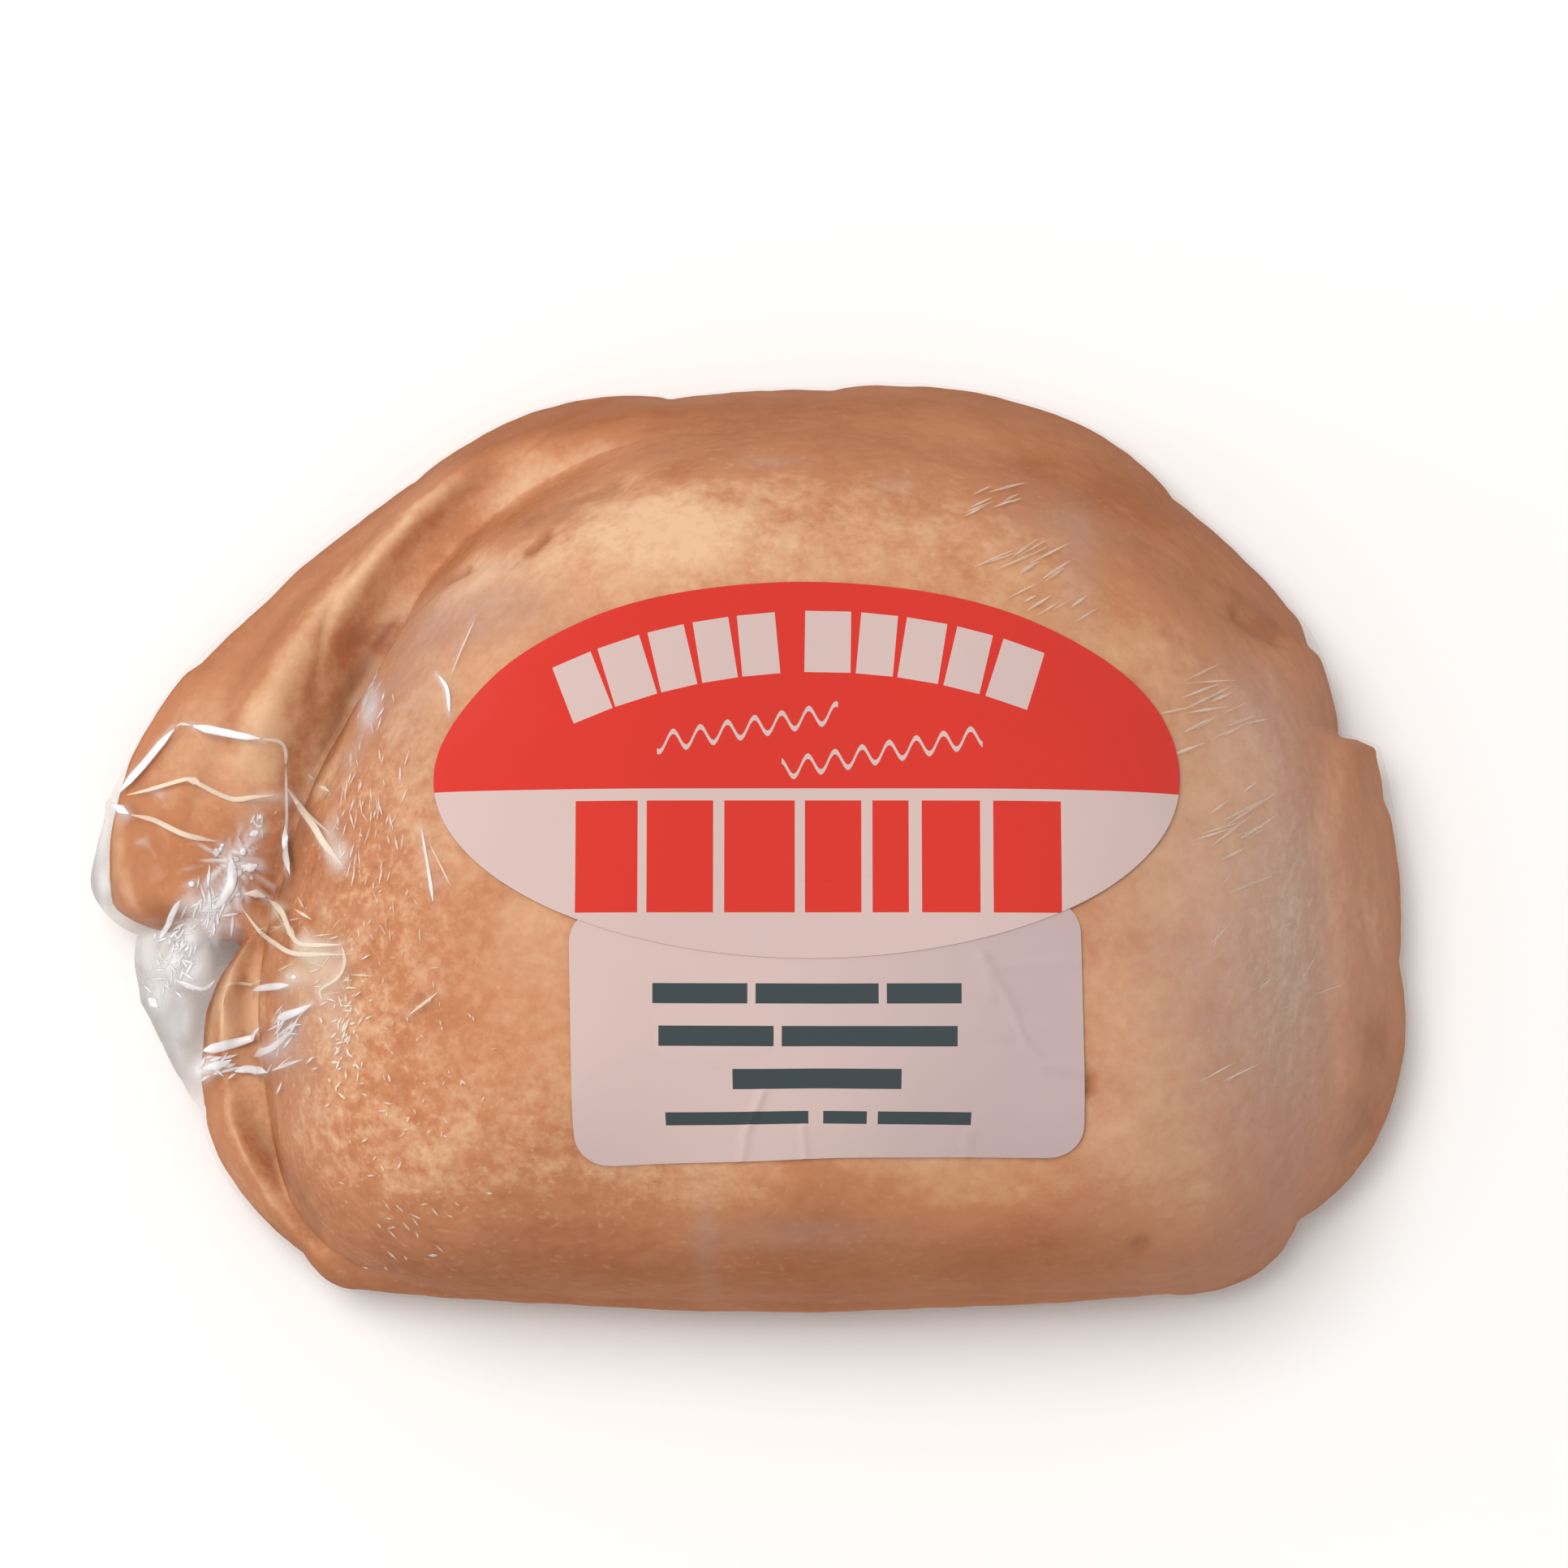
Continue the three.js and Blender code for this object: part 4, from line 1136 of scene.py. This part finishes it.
def scattered_glints():
    """The short glints as strands, placed at random round their patches' middles."""
    chance = random.Random(GLINT_SEED)
    found = []
    for x, y, reach_x, reach_y, count, turn, spread, long, width, milk, warm in FILM_GLINTS:
        for _ in range(count):
            at_x = chance.gauss(x, reach_x / GLINTS_CLOSE_BY)
            at_y = chance.gauss(y, reach_y / GLINTS_CLOSE_BY)
            way = math.radians(chance.gauss(turn, spread))
            half, wide = long * chance.uniform(*GLINT_LENGTHS), width * chance.uniform(*GLINT_WIDTHS)
            across, up = math.cos(way), math.sin(way)
            run = [(at_x + side * half * across, at_y + side * half * up) for side in (-1, 0, 1)]
            milk_and_highlight = milk * chance.uniform(*GLINT_MILKS)
            found.append((run, wide * GLINT_STARTS, wide, wide * GLINT_ENDS, milk_and_highlight, warm))
    return found


def tree_of(piece):
    """The piece's faces, ready for rays to be cast at them."""
    shape = bmesh.new()
    shape.from_mesh(piece.data)
    tree = BVHTree.FromBMesh(shape)
    shape.free()
    return tree


def top_under(tree, x, y, crown):
    """Height of the topmost face over a plan point, or None where there is none."""
    start = Vector(((x + crown[0]) * MM, (y + crown[1]) * MM, RAYS_FROM))
    place = tree.ray_cast(start, Vector((0, 0, -1)))[0]
    return place.z / MM if place else None


def over_dough(points, crown):
    """The least height that each point of the film may have: the floor's, or just over the dough's top
    where that stands a little higher than the point."""
    dough = bpy.data.objects.get("pasty_dough")
    if dough is None:
        raise RuntimeError("The film is laid over the dough, so the dough is made first")
    tree, least = tree_of(dough), np.zeros(len(points))
    for i, (x, y, z) in enumerate(points.tolist()):
        top = top_under(tree, x, y, crown)
        if top is not None and 0 < top + FILM_CLEARANCE - z < FILM_CLEARS_UP_TO:
            least[i] = top + FILM_CLEARANCE
    return least


# Beads of rolled film: the step along a strand and along a glint, and their sides; from how many steps on
# a bead is long, and how sharply long and short ones narrow to their ends; and the least width.
STRAND_STEP, STRAND_SIDES, GLINT_STEP, GLINT_SIDES = 0.35, 12, 0.6, 6
LONG_BEAD, LONG_TAPER, SHORT_TAPER, TAPER_POWER, LEAST_WIDTH = 12, 5, 2, 0.85, 0.1
BEAD_LIFT, BEAD_HEIGHT = 0.08, 0.05  # off the skin, and against its own width
# How much less milky a bead's sides are and how narrow that is, and its waves of milkiness: the painted
# highlight is strongest along a bead's middle.
SIDES_LESS_MILKY, SIDES_NARROW, MILKY_MIDDLE, MILKY_SWING, MILKY_WAVES = 0.45, 4, 0.85, 0.15, 9


def bead_width(t, steps, first, middle, last):
    """The width along a bead, by the widths at its start, middle and end. It narrows to both ends."""
    wide = first * (1 - t) * (1 - 2 * t) + middle * 4 * t * (1 - t) + last * t * (2 * t - 1)
    ends = np.minimum(t, 1 - t) * (LONG_TAPER if steps > LONG_BEAD else SHORT_TAPER)
    return np.maximum(wide, LEAST_WIDTH) * np.clip(ends, 0, 1) ** TAPER_POWER


def film_creases(skin, crown):
    """The strands and glints: flat beads of rolled film that lie on the skin, milky partly as painted
    highlight.
    """
    tree = tree_of(skin)
    together = bmesh.new()
    milk_and_highlight, warm = [], []
    for number, (run, *widths, milk, warmth) in enumerate(FILM_STRANDS + scattered_glints()):
        is_strand = number < len(FILM_STRANDS)
        path = eased_path(run, STRAND_STEP if is_strand else GLINT_STEP)
        steps = len(path) - 1
        bead, turn, ring = ball("bead", STRAND_SIDES if is_strand else GLINT_SIDES, steps)
        t = ring / steps
        wide = bead_width(t, steps, *widths)
        ahead = np.gradient(path, axis=0)
        ahead /= np.linalg.norm(ahead, axis=1, keepdims=True)
        x = path[ring, 0] - ahead[ring, 1] * np.cos(turn) * wide / 2
        y = path[ring, 1] + ahead[ring, 0] * np.cos(turn) * wide / 2
        tops = [top_under(tree, at_x, at_y, crown) for at_x, at_y in zip(x, y)]
        z = np.array([RIM_EDGE_HEIGHT if top is None else top for top in tops], float)
        z = z + BEAD_LIFT + (1 + np.sin(turn)) * BEAD_HEIGHT * wide
        set_points(bead, np.stack([x, y, z], axis=1), crown)
        together.from_mesh(bead.data)
        across = 1 - SIDES_LESS_MILKY * np.cos(turn) ** SIDES_NARROW
        milk_and_highlight.append(milk * across * (MILKY_MIDDLE + MILKY_SWING * np.sin(MILKY_WAVES * t + number)))
        warm.append(np.full_like(x, warmth))
        old = bead.data
        bpy.data.objects.remove(bead)
        bpy.data.meshes.remove(old)
    piece = piece_of("film_creases", together)
    piece.data.shade_smooth()
    give_values(piece, "milk_and_highlight", np.concatenate(milk_and_highlight))
    give_values(piece, "warm", np.concatenate(warm))
    for name in ("grey", "veil_and_sheen"):
        give_values(piece, name, np.zeros(len(piece.data.vertices)))
    return piece


# The film's columns in degrees, closer together round its gathered left end, and the way of its rings.
FILM_COLUMNS = steps_over((-132, 152, 350), (152, 168, 40), (168, 214, 176), (214, 228, 34))[:-1]
FILM_RINGS = steps_over((0, 1, 12), (1, 2, 58), (2, 2.55, 70), (2.55, 3, 20))
# Facets: how high they are, how much of that a ridge takes away and how high it is when it does so fully,
# which of them are milky with painted highlights, and how closely that keeps to the gathered end.
FACET_HEIGHT, FACETS_LOST, FACETS_LOST_AT, MILKY_FACETS, MILKY_KEEPS_TO = 0.9, 0.7, 0.3, 0.42, 1.5


class PASTY_OT_film(bpy.types.Operator):
    """Makes the clear film and its gathered end"""

    bl_idname = "pasty.film"
    bl_label = "Clear film"

    def execute(self, context):
        sizes, looks = context.scene.pasty_sizes, context.scene.pasty_looks
        crown, crown_height = crown_of(sizes), sizes.crown_height / MM
        piece, turn, ring = ball("film_skin", len(FILM_COLUMNS), len(FILM_RINGS) - 1)
        angle, way = np.radians(FILM_COLUMNS[spoke_of(turn, len(FILM_COLUMNS))]), FILM_RINGS[ring]
        points = soften(form_points(angle, way, FILM_CRIMPS, SKIN_FOLDS, crown_height), angle, ring, way)
        set_points(piece, points, crown)
        x, y = points[:, 0], points[:, 1]
        milk_and_highlight, warm, grey, height = film_haze(x, y)
        gathered, facets = gather_share(x, y), crumple(points)
        crumpled = FACET_HEIGHT * facets * gathered * (1 - FACETS_LOST * eased(0, FACETS_LOST_AT, height))
        relief = height * (1 - label_zone(points)) + crumpled
        moved = points + normals_of(piece) * (relief + sizes.film_lift / MM)[:, None]
        moved[:, 2] = np.maximum(moved[:, 2], over_dough(moved, crown))
        set_points(piece, moved, crown)
        milk_and_highlight = milk_and_highlight + (facets - MILKY_FACETS) * gathered**MILKY_KEEPS_TO
        give_values(piece, "milk_and_highlight", np.clip(milk_and_highlight, 0, 1))
        give_values(piece, "warm", warm)
        give_values(piece, "grey", grey)
        give_values(piece, "veil_and_sheen", looks.haze + add_spots(np.zeros_like(x), x, y, FILM_VEILS_AND_SHEEN))
        material = film_material(looks)
        for part in (piece, film_creases(piece, crown)):
            part.data.materials.append(material)
            belongs(part, "film", "film_wrapped_pasty")
        return {"FINISHED"}


# ---- labels --------------------------------------------------------------------------------
OVAL_AT, PLATE_AT, PLATE_TURN = (0.9, 3.1), (2.6, -23.3), 0.02
LABEL_COLUMNS, RINGS_UNDER, RINGS_OVER = 360, 3, 72
PLATE_EASING, OVAL_OFF_PLATE = 2, 0.04  # past the small label's edge, and the gap between the two labels
NEARLY_ZERO = 1e-9  # keeps a division finite


def laid_paths(edge_x, edge_y, at, steps, crown_height):
    """The paths that the flat label's spokes take when it is smoothed down from its centre: the way
    over the curved top is as long as it was on the flat label."""
    length_out = np.hypot(edge_x, edge_y)
    along_x, along_y, stretch = edge_x / length_out, edge_y / length_out, length_out / steps
    x, y = np.full_like(edge_x, at[0]), np.full_like(edge_y, at[1])
    path_x, path_y, here = [x], [y], top_height(x, y, crown_height)
    for _ in range(steps):
        climb = top_height(x + along_x * stretch, y + along_y * stretch, crown_height) - here
        step = stretch * np.cos(np.arctan(climb / stretch))
        x, y = x + along_x * step, y + along_y * step
        here = top_height(x, y, crown_height)
        path_x.append(x)
        path_y.append(y)
    return np.array(path_x), np.array(path_y)


def label_piece(name, sizes, at, edge, lift, creases):
    """A closed sheet of paper smoothed down over the body. edge gives the border at an angle of the
    flat label, lift the gap under it, and creases the height of what is ruckled in it."""
    around, under, over = LABEL_COLUMNS, RINGS_UNDER, RINGS_OVER
    piece, turn, ring = ball(name, around, under + over)
    reach = np.where(ring < under, 1 - (1 - ring / (under - 1)) ** 2, (under + over - ring) / over)
    spoke = spoke_of(turn, around)
    edge_x, edge_y = edge(np.arange(around) / around * 2 * math.pi)
    flat_x, flat_y = edge_x[spoke] * reach, edge_y[spoke] * reach
    path_x, path_y = laid_paths(edge_x, edge_y, at, over, sizes.crown_height / MM)
    step = np.round(reach * over).astype(int)
    x, y = path_x[step, spoke], path_y[step, spoke]
    z = top_height(x, y, sizes.crown_height / MM) + lift(x, y)
    z = z + (ring >= under) * sizes.paper / MM + creases(flat_x, flat_y)
    set_points(piece, np.stack([x, y, z], axis=1), crown_of(sizes))
    ends = np.empty(len(piece.data.edges) * 2, np.int32)
    piece.data.edges.foreach_get("vertices", ends)
    first, second = ring[ends.reshape(-1, 2)].T
    sharp = piece.data.attributes.new("sharp_edge", "BOOLEAN", "EDGE")
    sharp.data.foreach_set("value", (first == second) & np.isin(first, [under - 1, under]))
    layer = piece.data.uv_layers.new(name="flat")
    loops = np.empty(len(piece.data.loops), np.int32)
    piece.data.loops.foreach_get("vertex_index", loops)
    flat = np.stack([flat_x[loops], flat_y[loops]], axis=1)
    layer.data.foreach_set("uv", flat.astype(np.float32).ravel())
    return piece


def over_plate(x, y, sizes):
    """1 where the oval lies on the small label, 0 where it lies on the film beside it."""
    inside_x = sizes.plate_width / MM / 2 + PLATE_EASING - np.abs(x - PLATE_AT[0])
    inside_y = sizes.plate_depth / MM / 2 + PLATE_EASING - np.abs(y - PLATE_AT[1])
    return eased(0, PLATE_EASING, np.minimum(inside_x, inside_y))


# Creases ruckled in the small label: the run on the flat label, its width and its height.
PLATE_CREASES = [
    ([(-8.6, -12.7), (-8.2, -10.0), (-6.4, -5.8)], 0.4, 0.30),
    ([(-2.2, -12.7), (-2.5, -9.5)], 0.35, 0.22),
    ([(14.4, -12.7), (14.3, -9.8)], 0.4, 0.26),
    ([(15.4, 7.5), (18.2, 2.5), (19.6, -1.2), (21.3, -3.0), (25.4, -3.6)], 0.6, 0.26),
    ([(16.4, 6.4), (25.4, 7.2)], 0.45, 0.14),
    ([(15.4, 7.5), (16.2, 3.5)], 0.5, 0.16),
]


class Print:
    """Masks of the printed shapes, in millimetres of the flat label."""

    def __init__(self, nodes):
        self.nodes = nodes
        flat = nodes.add("ShaderNodeUVMap", {"uv_map": "flat"}).outputs[0]
        parts = nodes.add("ShaderNodeSeparateXYZ", Vector=flat)
        self.x, self.y = parts.outputs[0], parts.outputs[1]

    def box(self, x, y, width, height):
        """A block about that point."""
        along = self.nodes.math("COMPARE", self.x, x, width / 2)
        up = self.nodes.math("COMPARE", self.y, y, height / 2)
        return self.nodes.times(along, up)

    def arched(self, centre_x, centre_y, low, high, turn, width):
        """A block on a ring about that centre, between two radii and at an angle from the top."""
        calc, times = self.nodes.math, self.nodes.times
        x, y = calc("SUBTRACT", self.x, centre_x), calc("SUBTRACT", self.y, centre_y)
        along = calc("ADD", times(x, math.cos(turn)), times(y, -math.sin(turn)))
        out = calc("ADD", times(x, math.sin(turn)), times(y, math.cos(turn)))
        within = calc("COMPARE", out, (low + high) / 2, (high - low) / 2)
        return times(calc("COMPARE", along, 0.0, width / 2), within)

    def ripple(self, x, y, width, slope, swing, wavelength, thickness):
        """A thin wavy line."""
        calc, times = self.nodes.math, self.nodes.times
        off = calc("SUBTRACT", self.x, x)
        wave = times(calc("SINE", times(off, 2 * math.pi / wavelength)), swing)
        middle = calc("ADD", calc("ADD", times(off, slope), wave), y)
        on_line = calc("COMPARE", calc("SUBTRACT", self.y, middle), 0.0, thickness / 2)
        return times(on_line, calc("COMPARE", off, 0.0, width / 2))

    def together(self, masks):
        """All of the masks in one."""
        total = masks[0]
        for mask in masks[1:]:
            total = self.nodes.math("MAXIMUM", total, mask)
        return total


# The paper's fibres and ruckles: their size and depth in metres, and their strength.
FIBRE_SIZE, FIBRE_DEPTH, FIBRE_STRENGTH = 0.0004, 0.00002, 0.35
RUCKLE_SIZE, RUCKLE_DEPTH, RUCKLE_STRENGTH = 0.012, 0.0005, 0.25


def paper_shader(nodes, colour_socket, roughness):
    """Paper of that colour, with its fibres and slight ruckles."""
    fibre = nodes.bump(nodes.noise(FIBRE_SIZE, roughness=0.6), FIBRE_DEPTH, FIBRE_STRENGTH)
    ruckle = nodes.bump(nodes.noise(RUCKLE_SIZE, detail=2), RUCKLE_DEPTH, RUCKLE_STRENGTH, fibre)
    return nodes.add("ShaderNodeBsdfPrincipled", Base_Color=colour_socket, Roughness=roughness, Normal=ruckle)


# The oval label, in millimetres from its middle: the ring that its title stands on (centre and two radii)
# and the angle and width of each block on it, its two wavy lines, and its red blocks.
TITLE_RING = (0.8, -51.3, 60.9, 67.2)
TITLE_BLOCKS = [
    (-21.6, 4.2), (-17.3, 4.4), (-13.1, 3.7), (-9.2, 3.6), (-5.3, 3.8),
    (0.9, 4.6), (5.3, 3.7), (9.4, 4.1), (13.6, 3.7), (18.0, 4.4),
]
WAVY_LINES = [(-6.2, 4.0, 18.0, 0.17, 0.9, 2.7, 0.55), (7.2, 1.5, 20.0, 0.17, 0.9, 2.7, 0.55)]
RED_BLOCKS_UP, RED_BLOCKS_HEIGHT = -8.9, 11.2
RED_BLOCKS = [(-20.2, 6.2), (-12.9, 6.6), (-5.0, 7.0), (2.3, 5.6), (8.0, 3.6), (14.0, 5.8), (21.6, 6.8)]
RED_FIELD_ABOVE = -2.1
PAPER_SHADE_SIZE, PAPER_SHADE_RANGE = 0.03, (0.3, 0.7, 0.96, 1.04)
# The small label: its bars, where its painted shade, which darkens it towards the right, begins and ends,
# and how dark that is in each colour.
BARS = [
    (-12.6, 3.9, 9.4, 2.0), (-1.0, 3.9, 12.2, 2.0), (9.6, 3.9, 7.4, 2.0),
    (-11.0, -0.3, 11.4, 2.0), (4.2, -0.3, 17.4, 2.0),
    (-1.0, -4.5, 16.8, 2.0),
    (-9.0, -8.4, 14.2, 1.3), (1.8, -8.4, 4.4, 1.3), (9.8, -8.4, 9.4, 1.3),
]
PLATE_SHADE_RANGE, PLATE_SHADE = (-6, 18), (0.82, 0.83, 0.88)


def oval_material(looks):
    """White paper with a red upper field, and with blocks and lines for the print."""
    nodes = Nodes("printed_oval_paper")
    shapes = Print(nodes)
    red, white = solid_colour(looks.red), solid_colour(looks.paper)
    title = [shapes.arched(*TITLE_RING, math.radians(turn), width) for turn, width in TITLE_BLOCKS]
    lines = [shapes.ripple(*line) for line in WAVY_LINES]
    blocks = [shapes.box(x, RED_BLOCKS_UP, width, RED_BLOCKS_HEIGHT) for x, width in RED_BLOCKS]
    field = nodes.mix(nodes.math("GREATER_THAN", shapes.y, RED_FIELD_ABOVE), white, red)
    printed = nodes.mix(shapes.together(title + lines), field, white)
    printed = nodes.mix(shapes.together(blocks), printed, red)
    shade = nodes.range(nodes.noise(PAPER_SHADE_SIZE, detail=2), *PAPER_SHADE_RANGE)
    return nodes.finish(paper_shader(nodes, nodes.scaled(printed, shade), 0.5))


def plate_material(looks):
    """White paper with bars for the print, and painted shade that makes it a little darker towards the right.
    """
    nodes = Nodes("printed_small_paper")
    shapes = Print(nodes)
    shaded = solid_colour([part * share for part, share in zip(looks.paper, PLATE_SHADE)])
    ground = nodes.mix(nodes.range(shapes.x, *PLATE_SHADE_RANGE), solid_colour(looks.paper), shaded)
    bars = shapes.together([shapes.box(*bar) for bar in BARS])
    return nodes.finish(paper_shader(nodes, nodes.mix(bars, ground, solid_colour(looks.ink)), 0.6))


class PASTY_OT_labels(bpy.types.Operator):
    """Makes the oval label and the small rectangular one under its front edge"""

    bl_idname = "pasty.labels"
    bl_label = "Labels"

    def execute(self, context):
        sizes, looks = context.scene.pasty_sizes, context.scene.pasty_looks
        gap, paper = sizes.label_lift / MM, sizes.paper / MM

        def oval_edge(turn):
            return sizes.oval_width / MM / 2 * np.cos(turn), sizes.oval_depth / MM / 2 * np.sin(turn)

        def plate_edge(turn):
            half_x, half_y = sizes.plate_width / MM / 2, sizes.plate_depth / MM / 2
            corner = sizes.plate_corner / MM
            across, up = np.cos(turn) / half_x, np.sin(turn) / half_y
            reach = 1 / np.maximum(np.abs(across), np.abs(up))
            x, y = np.cos(turn) * reach, np.sin(turn) * reach
            off_x = np.maximum(np.abs(x) - (half_x - corner), 0)
            off_y = np.maximum(np.abs(y) - (half_y - corner), 0)
            far = np.maximum(np.hypot(off_x, off_y), NEARLY_ZERO)
            pull = np.where((off_x > 0) & (off_y > 0), np.minimum(1, corner / far), 1)
            x = np.sign(x) * (np.minimum(np.abs(x), half_x - corner) + off_x * pull)
            y = np.sign(y) * (np.minimum(np.abs(y), half_y - corner) + off_y * pull)
            return x, y

        def turned_plate_edge(turn):
            x, y = plate_edge(turn)
            c, s = math.cos(PLATE_TURN), math.sin(PLATE_TURN)
            return x * c - y * s, x * s + y * c

        oval = label_piece(
            "oval_label_paper", sizes, OVAL_AT, oval_edge,
            lambda x, y: gap + (paper + OVAL_OFF_PLATE) * over_plate(x, y, sizes),
            lambda x, y: np.zeros_like(x),
        )
        oval.data.materials.append(oval_material(looks))
        belongs(oval, "oval_label_paper", "oval_label")
        plate = label_piece(
            "small_label_paper", sizes, PLATE_AT, turned_plate_edge,
            lambda x, y: np.full_like(x, gap), lambda x, y: fold_height(x, y, PLATE_CREASES),
        )
        plate.data.materials.append(plate_material(looks))
        belongs(plate, "small_label_paper", "small_label")
        return {"FINISHED"}


# ---- stage ---------------------------------------------------------------------------------
# The floor's side, and the lamps' places and sizes, in metres.
FLOOR_SIZE, FLOOR_SHADE_SIZE, FLOOR_SHADE_RANGE = 3.0, 0.2, (0.3, 0.7, 0.995, 1.0)
KEY_LAMP_AT, KEY_LAMP_SIZE, KEY_LAMP_TINT = (-0.27, 0.15, 1.0), 0.6, (1, 0.98, 0.95)
EDGE_LAMP_AT, EDGE_LAMP_SIZE, EDGE_LAMP_TINT = (-0.9, 0.1, 0.2), 0.3, (1, 1, 1)
ROOM_COLOUR = (1, 0.99, 0.98)


def floor_material(stage):
    """A pale, nearly even floor."""
    nodes = Nodes("pale_floor")
    shade = nodes.range(nodes.noise(FLOOR_SHADE_SIZE, detail=2), *FLOOR_SHADE_RANGE)
    toned = nodes.scaled(tuple(stage.floor), shade)
    return nodes.finish(nodes.add("ShaderNodeBsdfPrincipled", Base_Color=toned, Roughness=0.9))


def area_lamp(name, place, size, power, tint):
    """A round lamp that faces the camera's target."""
    lamp = bpy.data.lights.new(name, "AREA")
    lamp.shape, lamp.size, lamp.energy, lamp.color = "DISK", size, power, tint
    holder = bpy.data.objects.new(name, lamp)
    holder.location = place
    holder.rotation_euler = (Vector(CAMERA_TARGET) * MM - Vector(place)).to_track_quat("-Z", "Y").to_euler()
    bpy.context.scene.collection.objects.link(holder)
    return holder


class PASTY_OT_stage(bpy.types.Operator):
    """Makes the floor, the lamps and the camera"""

    bl_idname = "pasty.stage"
    bl_label = "Stage"

    def execute(self, context):
        scene, stage = context.scene, context.scene.pasty_stage
        scene.view_settings.view_transform = "Standard"
        shape = bmesh.new()
        bmesh.ops.create_grid(shape, x_segments=1, y_segments=1, size=FLOOR_SIZE / 2)
        floor = piece_of("floor", shape)
        floor.data.materials.append(floor_material(stage))

        world = bpy.data.worlds.new("soft_room")
        world.use_nodes = True
        background = world.node_tree.nodes["Background"]
        background.inputs["Color"].default_value = solid_colour(ROOM_COLOUR)
        background.inputs["Strength"].default_value = stage.fill
        scene.world = world
        key = area_lamp("key_lamp", KEY_LAMP_AT, KEY_LAMP_SIZE, stage.key_power, KEY_LAMP_TINT)
        key.visible_glossy = False
        area_lamp("edge_lamp", EDGE_LAMP_AT, EDGE_LAMP_SIZE, stage.edge_power, EDGE_LAMP_TINT)

        camera = bpy.data.objects.new("camera", bpy.data.cameras.new("camera"))
        camera.data.lens, camera.data.sensor_width = stage.focal, SENSOR_WIDTH
        tilt = QUARTER - stage.elevation
        back = Vector((0, -math.sin(tilt), math.cos(tilt)))
        camera.location = Vector(CAMERA_TARGET) * MM + back * stage.distance
        camera.rotation_euler = (tilt, 0, 0)
        scene.collection.objects.link(camera)
        scene.camera = camera
        return {"FINISHED"}


class PASTY_PT_panel(bpy.types.Panel):
    """Lists the pieces and the values behind them"""

    bl_label = "Film-wrapped pasty"
    bl_idname = "PASTY_PT_panel"
    bl_space_type = "VIEW_3D"
    bl_region_type = "UI"
    bl_category = "Pasty"

    def draw(self, context):
        for group in (context.scene.pasty_sizes, context.scene.pasty_looks, context.scene.pasty_stage):
            box = self.layout.box()
            for name in group.__annotations__:
                box.prop(group, name)
        for operator in OPERATORS:
            self.layout.operator(operator.bl_idname)


GROUPS = {"pasty_sizes": PastySizes, "pasty_looks": PastyLooks, "pasty_stage": PastyStage}
OPERATORS = (PASTY_OT_stage, PASTY_OT_dough, PASTY_OT_film, PASTY_OT_labels)


def register():
    for one in (*GROUPS.values(), *OPERATORS, PASTY_PT_panel):
        bpy.utils.register_class(one)
    for name, group in GROUPS.items():
        setattr(bpy.types.Scene, name, PointerProperty(type=group))


def unregister():
    for name in GROUPS:
        delattr(bpy.types.Scene, name)
    for one in reversed((*GROUPS.values(), *OPERATORS, PASTY_PT_panel)):
        bpy.utils.unregister_class(one)


def main():
    register()
    bpy.ops.pasty.stage()
    bpy.ops.pasty.dough()
    bpy.ops.pasty.film()
    bpy.ops.pasty.labels()


if __name__ == "__main__":
    main()
